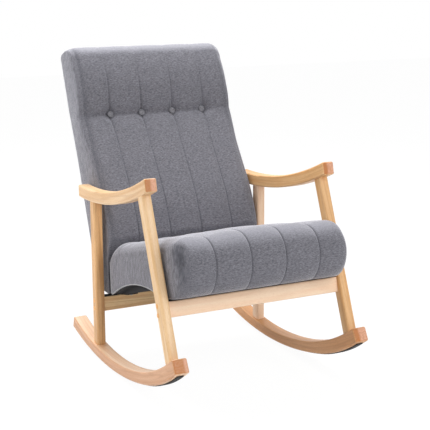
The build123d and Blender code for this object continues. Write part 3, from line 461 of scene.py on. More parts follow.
# Filling: a short cloth simulation, of whose movement each point keeps a share
FILL_FRAMES = 20
FILL_CAP = 5.0  # the longest movement that counts, in millimetres
SEAT_EASE = 0.4
SEAT_PANEL_EASE = 0.15
SEAT_PANEL_EDGE = 12
BACK_EASE = (0.35, 0.1)  # at the buttons and towards the top
BACK_EASE_RISE = 150
BACK_PANEL_EASE = 0.1
HELD_SEAM = 1
HELD_EDGE = 1
HELD_SLACK = 0.01
HELD_FOLD = 0.2
HELD_SEAT_T = 45
HELD_SEAT_S = 540
HELD_BACK_B = 25
HELD_OVER_TUCK = 20
HELD_CREASE = 4


def fill_out(cover, sewn, ease):
    """Lets a cover swell under pressure between its sewn points, by ease's share of FILL_CAP at most."""
    mesh = cover.data
    start = np.array([v.co for v in mesh.vertices])
    group = cover.vertex_groups.new(name="sewn")
    group.add([k for k, p in enumerate(start / MM) if sewn(*p)], 1.0, "REPLACE")
    cloth = cover.modifiers.new("filling", "CLOTH")
    settings = cloth.settings
    settings.quality = 5
    settings.mass = 0.4
    settings.tension_stiffness = settings.compression_stiffness = 25
    settings.bending_stiffness = 1.5
    settings.use_pressure = True
    settings.uniform_pressure_force = 4
    settings.shrink_min = -0.005
    settings.vertex_group_mass = group.name
    settings.effector_weights.gravity = 0
    cloth.point_cache.frame_start = 1
    cloth.point_cache.frame_end = FILL_FRAMES
    scene = bpy.context.scene
    for moment in range(1, FILL_FRAMES + 1):
        scene.frame_set(moment)
    shaped = cover.evaluated_get(bpy.context.evaluated_depsgraph_get()).data
    moved = np.array([v.co for v in shaped.vertices]) - start
    length = np.linalg.norm(moved, axis=1, keepdims=True)
    share = np.array([[ease(*p)] for p in start / MM])
    moved *= share * np.minimum(1, FILL_CAP * MM / np.maximum(length, 1e-9))
    mesh.vertices.foreach_set("co", (start + moved).ravel())
    cover.modifiers.remove(cloth)
    cover.vertex_groups.remove(group)
    scene.frame_set(1)


def seat_is_sewn(x, y, z):
    """Whether a point of the seat cover is held: on a seam, on a panel's edge or on its hidden sides."""
    s, t = to_seat(y, z)
    edge = SEAT_HALF - HELD_EDGE < abs(x) < SEAT_HALF + HELD_SLACK
    folded = corner_fold(x, s, t) > HELD_FOLD
    hidden = s < SEAT_HEEL[0] + 1 or t < HELD_SEAT_T and s < HELD_SEAT_S
    return seam_distance(x) < HELD_SEAM or edge or folded or hidden


def back_is_sewn(x, y, z):
    """Whether a point of the back cover is held: on a seam or panel edge, in the crease or out of sight."""
    a, b = to_back(y, z)
    edge = BACK_HALF - HELD_EDGE < abs(x) and b > HELD_BACK_B
    hidden = b < HELD_BACK_B or z < BACK_TUCK_Z + HELD_OVER_TUCK
    return seam_distance(x) < HELD_SEAM or edge or hidden or abs(a - BUTTON_A) < HELD_CREASE


def seat_ease(x, y, z):
    """How freely the seat cover swells: less on its tight side panels."""
    return SEAT_PANEL_EASE if abs(x) > SEAT_HALF - SEAT_PANEL_EDGE else SEAT_EASE


def back_ease(x, y, z):
    """How freely the back cover swells: less on its tight side panels and towards its smooth top."""
    if abs(x) > BACK_PANEL_SEAM_X:
        return BACK_PANEL_EASE
    return float(np.interp(to_back(y, z)[0], (BUTTON_A, BUTTON_A + BACK_EASE_RISE), BACK_EASE))


fill_out(seat_cover, seat_is_sewn, seat_ease)
fill_out(back_cover, back_is_sewn, back_ease)
for cover in (seat_cover, back_cover):
    smooth = cover.modifiers.new("smooth", "SUBSURF")
    smooth.levels = smooth.render_levels = 1


def swept(name, loops):
    """Closed mesh through loops of points, in millimetres, that have the same number of points each."""
    count = len(loops[0])
    points = [np.array(p) * MM for loop in loops for p in loop]
    last = len(points) - count
    faces = []
    for start in range(0, last, count):
        for i in range(count):
            n = (i + 1) % count
            faces.append((start + i, start + n, start + count + n, start + count + i))
    faces.append(tuple(range(count))[::-1])
    faces.append(tuple(range(last, len(points))))
    return new_mesh(name, points, faces)


def band(name, xs, section):
    """Closed mesh swept across X from a side-view section, which is given for each x."""
    return swept(name, [[(x, *p) for p in section(x)] for x in xs])


def rounded_box(u, v, radius):
    """Points round a rectangle from u[0], v[0] to u[1], v[1] with rounded corners."""
    loop = []
    corners = ((u[1], v[1], 0), (u[0], v[1], 1), (u[0], v[0], 2), (u[1], v[0], 3))
    for cu, cv, quarter in corners:
        inner_u = cu - radius if cu == u[1] else cu + radius
        inner_v = cv - radius if cv == v[1] else cv + radius
        for step in range(5):
            angle = pi / 2 * (quarter + step / 4)
            loop.append((inner_u + radius * cos(angle), inner_v + radius * sin(angle)))
    return loop


# Felt pads on the rails: pressed thickness and width as shares of the full ones, each with its unevenness
FELT_THICK = (0.94, 0.06)
FELT_WIDE = (0.99, 0.02)
FELT_WAVES = (21, 34)  # how long the unevenness is in the thickness and in the width
FELT_ROUND = 0.3  # share of the thickness
FELT_STEPS = 90


def felt_pad(name, node, width, thick, to_yz):
    """Strip of pressed felt, a little uneven, in place of a rail's pad."""
    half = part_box(node)[1].x / MM
    xs = np.linspace(-half, half, FELT_STEPS)

    def section(x):
        soft = thick * (FELT_THICK[0] + FELT_THICK[1] * wrinkle(x / FELT_WAVES[0], 3, 1))
        reach = width / 2 * (FELT_WIDE[0] + FELT_WIDE[1] * wrinkle(x / FELT_WAVES[1], 7, 2))
        return [to_yz(u, v) for u, v in rounded_box((-reach, reach), (0, soft), thick * FELT_ROUND)]

    pad = band(name, xs, section)
    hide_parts(node)
    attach(pad, "root")
    return pad


FRONT_PAD = {"s": 482, "width": 20, "thick": 5}
REAR_PAD = {"y": 136, "z": 196, "width": 20, "thick": 3}
felt_pads = [
    felt_pad("front_felt", "front_rail_pad", FRONT_PAD["width"], FRONT_PAD["thick"],
             lambda u, v: seat_point(FRONT_PAD["s"] + u, v - FRONT_PAD["thick"])),
    felt_pad("rear_felt", "rear_rail_pad", REAR_PAD["width"], REAR_PAD["thick"],
             lambda u, v: (REAR_PAD["y"] - u, REAR_PAD["z"] + v)),
]

# Webbing straps across the back frame
FRAME_FRONT = ((129, 104), (293, 90), (552, 38), (762, 38))
STRAP_A = (170, 240, 340, 420, 490, 640)
STRAP_WIDE = 50
STRAP_THICK = 1.5
STRAP_HALF = 250
STRAP_SLACK = 2.5
STRAP_CLEAR = 0.3
STRAP_ROUND = 0.45  # share of the thickness
STRAP_STEPS = 26


def frame_front_b(a):
    """How far the back frame's front edge stands ahead of the rear face at a."""
    heights, fronts = zip(*FRAME_FRONT)
    return float(np.interp(a, heights, fronts))


def strap_section(a, x):
    """Section of a strap at x, with a little slack between the stiles."""
    slack = STRAP_SLACK * cos(pi * x / (2 * STRAP_HALF)) ** 2
    loop = rounded_box((-STRAP_WIDE / 2, STRAP_WIDE / 2), (0, STRAP_THICK), STRAP_THICK * STRAP_ROUND)
    return [back_point(a + u, frame_front_b(a + u) + STRAP_CLEAR + v + slack) for u, v in loop]


strap_xs = np.linspace(-STRAP_HALF, STRAP_HALF, STRAP_STEPS)
straps = [band(f"back_strap_{number}", strap_xs, lambda x, a=a: strap_section(a, x))
          for number, a in enumerate(STRAP_A, 1)]
for strap in straps:
    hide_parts("back_webbing")
    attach(strap, "root")


def sheet_mesh(name, us, vs, place):
    """Single sheet of faces over a grid, where place gives a point in millimetres."""
    points = [np.array(place(u, v)) * MM for u in us for v in vs]
    wide = len(vs)
    faces = [(i * wide + j, i * wide + j + 1, (i + 1) * wide + j + 1, (i + 1) * wide + j)
             for i in range(len(us) - 1) for j in range(wide - 1)]
    return new_mesh(name, points, faces)


# Fabric panel that closes the rear of the back, pulled tight over its edge
PANEL_A = (10.5, 763.5)
PANEL_HALF = 255.5
PANEL_EDGE_B = -1.2
PANEL_LIES_IN = 2.2
PANEL_SLOPES = (14, 9)  # how fast it comes in from its edges, up the panel and across it
PANEL_UNEVEN = 0.6
PANEL_WAVES = (60, 90)
PANEL_STEPS = (90, 64)


def rear_panel_point(a, x):
    """Point of the rear panel, which lies in a little between its sewn edges."""
    up = (a - PANEL_A[0]) / (PANEL_A[1] - PANEL_A[0])
    inside = min(1, PANEL_SLOPES[0] * min(up, 1 - up)) * min(1, PANEL_SLOPES[1] * (1 - abs(x) / PANEL_HALF))
    pull = PANEL_UNEVEN * wrinkle(x / PANEL_WAVES[0], a / PANEL_WAVES[1], 5) * inside
    return (x, *back_point(a, PANEL_EDGE_B + PANEL_LIES_IN * inside + pull))


rear_panel = sheet_mesh("back_rear_panel", np.linspace(*PANEL_A, PANEL_STEPS[0]),
                        np.linspace(-PANEL_HALF, PANEL_HALF, PANEL_STEPS[1]), rear_panel_point)
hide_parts("back_rear_cover")
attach(rear_panel, "root")

# Dust cloth under the seat, turned up into the arches and out to the side panels
DUST_S = (41, 499)
DUST_HALF = 240.4
DUST_T = 0.9
DUST_OUT_X = 266
DUST_OFF = 1.3  # how far it hangs below the arch
DUST_LEAST = 3  # height of the arch where the cloth starts to turn up
DUST_STEPS = (90, 40)


def dust_path(s):
    """Places x, t across half of the cloth at s, out from its fold line."""
    low, high = DUST_T + under_rise(s), arch_t(s) - DUST_OFF
    return [(DUST_HALF, low + (high - low) * share) for share in (0.4, 0.8)] + [
        (DUST_HALF + (DUST_OUT_X - DUST_HALF) * share, high) for share in (0, 0.5, 1)]


def dust_mesh():
    """The cloth as one sheet, which turns up only where there is an arch."""
    ss = np.linspace(*DUST_S, DUST_STEPS[0])
    flat_xs = np.linspace(-DUST_HALF, DUST_HALF, DUST_STEPS[1])
    keep = {}
    points = []
    for i, s in enumerate(ss):
        turned = dust_path(s) if arch_t(s) > DUST_LEAST else []
        flat = [(x, DUST_T + under_rise(s)) for x in flat_xs]
        row = [(-x, up) for x, up in turned[::-1]] + flat + turned
        for j, (x, up) in enumerate(row, -len(turned)):
            keep[i, j] = len(points)
            points.append(np.array((x, *seat_point(s, up))) * MM)
    cells = [((i, j), (i, j + 1), (i + 1, j + 1), (i + 1, j)) for i, j in keep]
    faces = [tuple(keep[c] for c in cell) for cell in cells if all(c in keep for c in cell)]
    return new_mesh("dust_cloth", points, faces)


dust_cloth = dust_mesh()
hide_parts("seat_dust_cover")
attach(dust_cloth, "root")

# Folded hems along the lower edge of the seat's side panels
HEM_R = 1.7
HEM_IN = 0.6
HEM_END_S = 500
HEM_STEPS = (14, 60)  # down to the foot and over the arch
HEM_AROUND = 8


def tube(name, path, radius):
    """Closed round cord along a path of points in millimetres."""
    path = [Vector(p) for p in path]
    angles = [2 * pi * step / HEM_AROUND for step in range(HEM_AROUND)]
    loops = []
    for k, place in enumerate(path):
        along = (path[min(k + 1, len(path) - 1)] - path[max(k - 1, 0)]).normalized()
        side = along.cross(Vector((1, 0, 0))).normalized()
        other = along.cross(side)
        loops.append([place + radius * (cos(angle) * side + sin(angle) * other) for angle in angles])
    return swept(name, loops)


def hem_path(side):
    """Lower edge of a side panel, from its heel down to its foot and forward over the arch."""
    top = SEAT_THICK - SEAT_DRAWN_IN
    x = side * (SEAT_HALF - HEM_IN)
    heel, foot = (SEAT_HEEL[0], SEAT_HEEL[1] * top), (SEAT_REAR_S, SEAT_UNDER_T)
    ends = [heel] + line_points(heel, foot, HEM_STEPS[0])
    forward = np.linspace(SEAT_REAR_S + 4, HEM_END_S, HEM_STEPS[1])
    low = [(s, max(arch_t(s), SEAT_UNDER_T)) for s in forward]
    return [(x, *seat_point(*p)) for p in ends[:-1] + low]


hems = [tube(f"seat_hem_{name}", hem_path(side), HEM_R) for name, side in (("left", -1), ("right", 1))]
for hem in hems:
    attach(hem, "root")

# Buttons: a fabric dome gathered over each of the four
BUTTON_RISE = ((0, 6.6), (4, 6.5), (7.5, 6.1), (9.6, 5.2), (10.7, 3.6), (11, 1.8), (10.2, 0))
BUTTON_FOLDS = 12
BUTTON_GATHER = 0.025
BUTTON_PROUD = 4


def button_mesh():
    """Four domed buttons with small gathers round their rims."""
    points, faces = [], []
    around = 4 * BUTTON_FOLDS
    for seam in SEAMS:
        first = len(points)
        for k, (radius, rise) in enumerate(BUTTON_RISE):
            steps = 1 if k == 0 else around
            for step in range(steps):
                angle = 2 * pi * step / around
                gather = 1 + BUTTON_GATHER * (radius / BUTTON_R) ** 3 * cos(BUTTON_FOLDS * angle)
                x, a = seam + radius * gather * cos(angle), BUTTON_A + radius * gather * sin(angle)
                points.append((x, *back_point(a, BUTTON_B + BUTTON_PROUD + rise)))
        rows = [[first] * around]
        for start in range(first + 1, len(points), around):
            rows.append(list(range(start, start + around)))
        for inner, outer in zip(rows, rows[1:]):
            for step in range(around):
                n = (step + 1) % around
                corners = (inner[step], outer[step], outer[n], inner[n])
                faces.append(tuple(dict.fromkeys(corners)))
        faces.append(tuple(rows[-1][::-1]))
    return new_mesh("covered_buttons", np.array(points) * MM, faces)


buttons = button_mesh()
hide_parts("back_buttons")
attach(buttons, "root")


def add(tree, kind, inputs=None, **settings):
    """New shader node with its settings and inputs, each a value or a socket to link from."""
    node = tree.nodes.new(kind)
    for key, value in settings.items():
        setattr(node, key, value)
    for key, value in (inputs or {}).items():
        if isinstance(value, bpy.types.NodeSocket):
            tree.links.new(value, node.inputs[key])
        else:
            node.inputs[key].default_value = value
    return node


def srgb(red, green, blue):
    """Linear colour of a screen colour given from 0 to 255."""
    channels = [c / 255 for c in (red, green, blue)]
    return (*[c / 12.92 if c <= 0.04045 else ((c + 0.055) / 1.055) ** 2.4 for c in channels], 1)


def new_material(name, **values):
    """Material with one shader, whose constant values are set on its own sockets."""
    material = bpy.data.materials.new(name)
    material.use_nodes = True
    shader = material.node_tree.nodes["Principled BSDF"]
    for key, value in values.items():
        shader.inputs[key.replace("_", " ").title().replace("Ior", "IOR")].default_value = value
    return material, material.node_tree, shader


def mix(tree, share, first, second):
    """Socket with two colours mixed."""
    return add(tree, "ShaderNodeMix", {0: share, 6: first, 7: second}, data_type="RGBA").outputs[2]


def spread(tree, value, low, high, to_low=0.0, to_high=1.0):
    """Socket with a value stretched from one range to another and held inside it."""
    node = add(tree, "ShaderNodeMapRange", {"Value": value, "From Min": low, "From Max": high,
                                            "To Min": to_low, "To Max": to_high})
    return node.outputs["Result"]


def math(tree, operation, first, second=0.0):
    """Socket with the result of one sum."""
    return add(tree, "ShaderNodeMath", {0: first, 1: second}, operation=operation).outputs[0]


def noise_of(tree, vector, scales, detail=2.0, roughness=0.5, distortion=0.0):
    """Socket with noise, stretched by its own scale along each axis."""
    scaled = add(tree, "ShaderNodeVectorMath", {0: vector, 1: scales}, operation="MULTIPLY").outputs[0]
    node = add(tree, "ShaderNodeTexNoise", {"Vector": scaled, "Scale": 1.0, "Detail": detail,
                                            "Roughness": roughness, "Distortion": distortion})
    return node.outputs[0]


def bump(tree, shader, height, strength, distance):
    """Give a shader's surface the relief of a height."""
    node = add(tree, "ShaderNodeBump", {"Height": height, "Strength": strength, "Distance": distance})
    tree.links.new(node.outputs[0], shader.inputs["Normal"])


def object_place(tree):
    """Socket with the place on the object, in metres."""
    return add(tree, "ShaderNodeTexCoord").outputs["Object"]


NAP_TONE = srgb(104, 105, 113)
# Lighter grey of the painted highlight on fabric that faces up
PAINTED_TOP_LIGHT_TONE = srgb(178, 178, 187)
# Darker grey of the painted shade in seams, folds, dimples and the crease
PAINTED_SHADE_TONE = srgb(52, 53, 60)


def fabric(name, dark, light, painted_shade_share):
    """Heathered chenille: short dashes in two greys, streaked upright on the sides, with a painted highlight
    that lightens surfaces facing up, for light from above, and painted shade, darker, in sewn lines, folds,
    dimples and the crease."""
    material, tree, shader = new_material(name, roughness=0.92, sheen_weight=0.95, sheen_roughness=0.34,
                                          sheen_tint=(0.93, 0.93, 1, 1), specular_ior_level=0.2)
    place = object_place(tree)
    normal = add(tree, "ShaderNodeNewGeometry").outputs["Normal"]
    facing = add(tree, "ShaderNodeSeparateXYZ", {0: normal}).outputs
    on_side = spread(tree, math(tree, "ABSOLUTE", facing["X"]), 0.6, 0.85)
    # Painted highlight: how far a surface facing up is mixed towards the lighter grey, for light from above
    painted_top_light = spread(tree, facing["Z"], 0.6, 0.92, 0.0, 0.34)
    tufts = noise_of(tree, place, (620, 1250, 1250), 2, 0.6)
    dashes = noise_of(tree, place, (135, 380, 380), 2, 0.7)
    streaks = noise_of(tree, place, (330, 130, 48), 3, 0.65)
    heather = add(tree, "ShaderNodeMix", {0: on_side, 2: dashes, 3: streaks}).outputs[0]
    nap = noise_of(tree, place, (9, 12, 12), 3, 0.55)
    speckle = math(tree, "ADD", math(tree, "MULTIPLY", tufts, 0.35), math(tree, "MULTIPLY", heather, 0.65))
    colour = mix(tree, spread(tree, speckle, 0.36, 0.64), dark, light)
    colour = mix(tree, spread(tree, nap, 0.35, 0.65, 0.0, 0.14), colour, NAP_TONE)
    colour = mix(tree, painted_top_light, colour, PAINTED_TOP_LIGHT_TONE)
    # Painted shade: the point attribute sewn darkens the fabric in seams, folds, dimples and the crease,
    # where shade falls
    if painted_shade_share:
        sewn = add(tree, "ShaderNodeAttribute", attribute_name="sewn").outputs["Fac"]
        colour = mix(tree, math(tree, "MULTIPLY", sewn, painted_shade_share), colour, PAINTED_SHADE_TONE)
    tree.links.new(colour, shader.inputs["Base Color"])
    height = math(tree, "ADD", tufts, math(tree, "MULTIPLY", heather, 0.8))
    bump(tree, shader, height, 0.4, 0.001)
    return material


GRAIN_RADIUS = 1.1  # turns an angle round a bent piece's centre into a length along its grain
END_GRAIN_DOT = (0.72, 0.9)  # how squarely a face looks along the grain where it shows end grain
SIDE_DOT = (0.25, 0.6)  # how squarely it looks sideways where it gets the painted shade of its shaded side tones
# How soft the border is between the end grain's own tone and its painted highlight
END_HIGHLIGHT_BLEND = 0.006


def along_axis(tree, vector, axis):
    """Socket with the part of a vector along an axis."""
    node = add(tree, "ShaderNodeVectorMath", {0: vector, 1: axis}, operation="DOT_PRODUCT")
    return node.outputs["Value"]


def grain_place(tree, direction, centre):
    """Socket with the place along and across the grain, which runs straight or round a centre."""
    place = object_place(tree)
    if centre is None:
        along = Vector(direction).normalized()
        side = along.orthogonal().normalized()
        up = along.cross(side)
        dots = [along_axis(tree, place, axis) for axis in (along, side, up)]
        return add(tree, "ShaderNodeCombineXYZ", dict(enumerate(dots))).outputs[0]
    parts = add(tree, "ShaderNodeSeparateXYZ", {0: place}).outputs
    back = math(tree, "SUBTRACT", parts["Y"], centre[0])
    down = math(tree, "SUBTRACT", centre[1], parts["Z"])
    squares = [math(tree, "MULTIPLY", off, off) for off in (back, down)]
    out = math(tree, "SQRT", math(tree, "ADD", *squares))
    turn = math(tree, "MULTIPLY", math(tree, "ARCTAN2", back, down), GRAIN_RADIUS)
    return add(tree, "ShaderNodeCombineXYZ", {0: turn, 1: parts["X"], 2: out}).outputs[0]


def wood(name, tones, direction=(1, 0, 0), centre=None, end_normals=(), end_highlight_x=0.0, figure=0.25, seed=0,
         shaded_side_tones=None):
    """Lacquered hardwood with streaks, growth lines and pores along the grain.

    Its end grain has its darker end-grain tone to the left of end_highlight_x and a painted highlight, a
    lighter pink tone, to the right. Faces that look sideways get the painted shade of shaded_side_tones where
    they are given.
    """
    material, tree, shader = new_material(name, coat_weight=0.12, coat_roughness=0.3, specular_ior_level=0.4)
    normal = add(tree, "ShaderNodeNewGeometry").outputs["Normal"]
    # Painted shade: faces that look sideways are mixed towards the darker shaded side tones
    if shaded_side_tones:
        sideways = math(tree, "ABSOLUTE", add(tree, "ShaderNodeSeparateXYZ", {0: normal}).outputs["X"])
        on_side = spread(tree, sideways, *SIDE_DOT)
        tones = [mix(tree, on_side, *pair) for pair in zip(tones, shaded_side_tones)]
    pale, warm, dark = tones
    place = grain_place(tree, direction, centre)
    shift = (3.1 * seed, 1.7 * seed, 2.3 * seed)
    shifted = add(tree, "ShaderNodeVectorMath", {0: place, 1: shift}).outputs[0]
    streaks = noise_of(tree, shifted, (2.2, 60, 60), 4, 0.55, 0.3)
    bands = noise_of(tree, shifted, (1.1, 20, 20), 2, 0.5, 0.6)
    fibres = noise_of(tree, shifted, (22, 620, 620), 3, 0.6)
    pores = spread(tree, noise_of(tree, shifted, (110, 1300, 1300), 1), 0.58, 0.68)
    lines = math(tree, "SINE", math(tree, "MULTIPLY", bands, 46))
    colour = mix(tree, spread(tree, streaks, 0.38, 0.62), pale, warm)
    colour = mix(tree, spread(tree, lines, 0.1, 1.0, 0.0, figure), colour, dark)
    colour = mix(tree, spread(tree, fibres, 0.35, 0.75, 0.0, 0.8 * figure), colour, dark)
    colour = mix(tree, math(tree, "MULTIPLY", pores, 0.3), colour, dark)
    for facing in end_normals:
        ends = spread(tree, along_axis(tree, normal, Vector(facing).normalized()), *END_GRAIN_DOT)
        growth = noise_of(tree, shifted, (2, 22, 34), 2, 0.5, 0.5)
        rings = math(tree, "SINE", math(tree, "MULTIPLY", growth, 70))
        over = add(tree, "ShaderNodeSeparateXYZ", {0: object_place(tree)}).outputs["X"]
        # Painted highlight on the end grain: the lighter tone to the right of end_highlight_x
        uneven = math(tree, "ADD", over, math(tree, "MULTIPLY", streaks, END_HIGHLIGHT_BLEND))
        end_highlight_share = spread(tree, uneven, end_highlight_x, end_highlight_x + END_HIGHLIGHT_BLEND)
        end_colour = mix(tree, end_highlight_share, END_GRAIN_TONE, END_HIGHLIGHT_TONE)
        end_colour = mix(tree, spread(tree, rings, -0.2, 1.0, 0.0, 0.4), end_colour, dark)
        colour = mix(tree, ends, colour, end_colour)
    tree.links.new(colour, shader.inputs["Base Color"])
    worn = math(tree, "ADD", streaks, math(tree, "MULTIPLY", pores, 0.4))
    tree.links.new(spread(tree, worn, 0.3, 1.0, 0.36, 0.58), shader.inputs["Roughness"])
    height = math(tree, "SUBTRACT", math(tree, "MULTIPLY", fibres, 0.4), pores)
    bump(tree, shader, height, 0.12, 0.0004)
    return material


def plain(name, low, high, scale, rough, relief, **values):
    """Material with a fine mottled colour and relief, for felt, rubber, foam, cloth and metal."""
    material, tree, shader = new_material(name, **values)
    place = object_place(tree)
    mottle = noise_of(tree, place, scale, 4, 0.6)
    wear = noise_of(tree, place, tuple(s * 0.06 for s in scale), 3, 0.5)
    share = spread(tree, math(tree, "ADD", mottle, math(tree, "MULTIPLY", wear, 0.6)), 0.55, 1.05)
    tree.links.new(mix(tree, share, low, high), shader.inputs["Base Color"])
    tree.links.new(spread(tree, wear, 0.3, 0.7, *rough), shader.inputs["Roughness"])
    bump(tree, shader, mottle, 0.4, relief)
    return material


def dress(material, *names):
    """Give CAD nodes a material."""
    for name in names:
        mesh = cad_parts[name].data
        mesh.materials.clear()
        mesh.materials.append(material)


OAK = srgb(240, 207, 165), srgb(229, 186, 136), srgb(186, 132, 82)
# Paler cream for the left front post: painted light for its brightly lit outer face
OAK_CREAM_PAINTED_LIGHT = srgb(248, 216, 174), srgb(240, 200, 149), srgb(196, 144, 90)
# Deeper orange for the right armrest and front post: painted shade for their inner faces, which lie in the
# chair's shade
OAK_SHADED_ORANGE = srgb(237, 194, 141), srgb(227, 174, 114), srgb(182, 122, 68)
# Pale pink for the right rear post and the front rail: partly the wood's own pink, partly painted light that
# lifts them where they lie in shade
OAK_PINK_PAINTED_LIGHT = srgb(255, 226, 196), srgb(252, 214, 180), srgb(222, 172, 132)
OAK_AMBER = srgb(245, 201, 146), srgb(233, 181, 123), srgb(170, 115, 64)
# Paler tones for the rear rail: painted light that lifts it in the shade under the seat
OAK_RAIL_PAINTED_LIGHT = srgb(255, 224, 174), srgb(251, 208, 152), srgb(204, 148, 92)
OAK_RUNNER = srgb(250, 214, 180), srgb(242, 198, 158), srgb(200, 145, 102)
# Darker tones of the painted shade on the left runner's sideways faces
OAK_RUNNER_SHADED_SIDE = srgb(227, 179, 140), srgb(213, 161, 121), srgb(173, 118, 81)
# Deeper tones for the right runner: painted shade
OAK_RUNNER_SHADED = srgb(231, 175, 122), srgb(218, 159, 106), srgb(174, 115, 70)
OAK_PLUG = srgb(246, 186, 112), srgb(234, 168, 94), srgb(192, 128, 72)
PINE = srgb(222, 196, 150), srgb(206, 174, 124), srgb(160, 122, 78)
# End-grain tones: the darker is the end grain's own colour, the lighter a painted highlight
END_GRAIN_TONE, END_HIGHLIGHT_TONE = srgb(188, 116, 56), srgb(222, 164, 132)
ARM_CENTRE = (0.230, 1.7965)
RUNNER_CENTRE = (0.027, 1.035)
ARM_ENDS = ((0, -0.93, 0.37), (0, 1, 0))
RUNNER_ENDS = ((0, -0.87, 0.48), (0, 0.96, 0.28))
ARM_GRAIN = {"centre": ARM_CENTRE, "end_normals": ARM_ENDS}
RUNNER_GRAIN = {"centre": RUNNER_CENTRE, "end_normals": RUNNER_ENDS}
FRONT_POST_TILT = radians(22.46)
FRONT_LEAN = (0, sin(FRONT_POST_TILT), cos(FRONT_POST_TILT))
REAR_LEAN = (0, 0.012, 1)
BACK_LEAN = (0, sin(BACK_TILT), cos(BACK_TILT))
UPRIGHT = (0, 0.2, 1)
BOARDS = ("seat_front_board", "seat_rear_board", "back_top_rail", "back_button_rail", "back_lumbar_rail",
          "back_foot_board", "seat_deck", "seat_corner_blocks")
WOODEN = (
    ("armrest_left", OAK, {**ARM_GRAIN, "end_highlight_x": -0.294}),
    ("armrest_right", OAK_SHADED_ORANGE, {**ARM_GRAIN, "end_highlight_x": 0.290}),
    ("runner_left", OAK_RUNNER, {**RUNNER_GRAIN, "end_highlight_x": -0.285, "shaded_side_tones": OAK_RUNNER_SHADED_SIDE}),
    ("runner_right", OAK_RUNNER_SHADED, {**RUNNER_GRAIN, "end_highlight_x": 0.290}),
    ("front_post_left", OAK_CREAM_PAINTED_LIGHT, {"direction": FRONT_LEAN}),
    ("front_post_right", OAK_SHADED_ORANGE, {"direction": FRONT_LEAN}),
    ("rear_post_left", OAK_AMBER, {"direction": REAR_LEAN, "figure": 0.45}),
    ("rear_post_right", OAK_PINK_PAINTED_LIGHT, {"direction": REAR_LEAN}),
    ("front_rail", OAK_PINK_PAINTED_LIGHT, {"figure": 0.15}),
    ("rear_rail", OAK_RAIL_PAINTED_LIGHT, {"figure": 0.4}),
    ("bolt_cover_plugs", OAK_PLUG, {"direction": UPRIGHT}),
    ("armrest_dowels", OAK, {"direction": UPRIGHT}),
    ("runner_dowels", OAK, {"direction": UPRIGHT}),
    *((f"seat_side_board_{side}", PINE, {"direction": (0, 1, 0)}) for side in ("left", "right")),
    *((f"back_stile_{side}", PINE, {"direction": BACK_LEAN}) for side in ("left", "right")),
    *((node, PINE, {}) for node in BOARDS),
)
for seed, (node, tones, grain) in enumerate(WOODEN, 1):
    dress(wood(f"{node}_wood", tones, seed=seed, **grain), node)
dress(plain("rubber", srgb(9, 9, 10), srgb(20, 20, 21), (700, 700, 700), (0.55, 0.8), 0.0003),
      "runner_strip_left", "runner_strip_right", "rear_spacers")
black_steel = plain("black_steel", srgb(24, 24, 25), srgb(44, 44, 46), (900, 900, 900), (0.35, 0.55), 0.0001,
                    metallic=0.3)
dress(black_steel, "joining_plate_left", "joining_plate_right")
zinc_steel = plain("zinc_steel", srgb(160, 160, 158), srgb(198, 198, 194), (400, 900, 900), (0.28, 0.45),
                   0.0001, metallic=1.0)
dress(zinc_steel, "rail_bolts", "barrel_nuts", "plate_screws", "seat_fixing_bolts", "seat_fixing_washers",
      "threaded_inserts")
twine = plain("waxed_twine", srgb(60, 58, 55), srgb(96, 92, 86), (900, 900, 900), (0.6, 0.85), 0.0004)
dress(twine, "button_ties")

FABRIC_DARK, FABRIC_LIGHT = srgb(85, 85, 91), srgb(143, 142, 150)
grey = fabric("grey_chenille", FABRIC_DARK, FABRIC_LIGHT, 0.4)
grey_plain = fabric("grey_chenille_plain", FABRIC_DARK, FABRIC_LIGHT, 0)
grey_button = fabric("grey_chenille_button", srgb(98, 98, 103), srgb(154, 153, 159), 0)
grey_hem = fabric("grey_chenille_hem", srgb(146, 146, 148), srgb(196, 196, 196), 0)
felt = plain("black_felt", srgb(18, 18, 19), srgb(42, 42, 44), (600, 600, 600), (0.9, 1.0), 0.0008)
dust = plain("black_nonwoven", srgb(22, 22, 24), srgb(46, 46, 49), (420, 420, 420), (0.85, 0.95), 0.0004)
web = plain("woven_webbing", srgb(40, 40, 42), srgb(84, 82, 80), (300, 1300, 1300), (0.75, 0.9), 0.0006)
pieces_of = (
    (grey, (seat_cover, back_cover)),
    (grey_plain, (rear_panel,)),
    (grey_button, (buttons,)),
    (grey_hem, hems),
    (dust, (dust_cloth,)),
    (felt, felt_pads),
    (web, straps),
)
for material, pieces in pieces_of:
    for piece in pieces:
        piece.data.materials.append(material)

# Painted shade in the sewn places, the nose's folds, beside the back's side panels, in the dimples and in the
# crease: how strong it is and how far it reaches, in millimetres
SEAT_SEAM_SHADE = 1.8
SEAT_FOLD_SHADE = 1.9
BACK_SHADE_FROM_B = 30
BACK_SEAM_SHADE = 2.1
BACK_SEAM_LEAST = 0.45  # share of a seam's shade at the buttons
PANEL_SHADE = (0.75, 12)
PANEL_SHADE_IN = 3
DIMPLE_SHADE = (1.5, 13.5)
CREASE_SHADE = (0.3, 4)


def seat_painted_shade(x, y, z):
    """How much painted shade a point of the seat cover gets, near a sewn line and in the nose's corner fold,
    from 0 to 1.
    """
    on_seam = exp(-((seam_distance(x) / SEAT_SEAM_SHADE) ** 2))
    return max(on_seam, SEAT_FOLD_SHADE * corner_fold(x, *to_seat(y, z)))


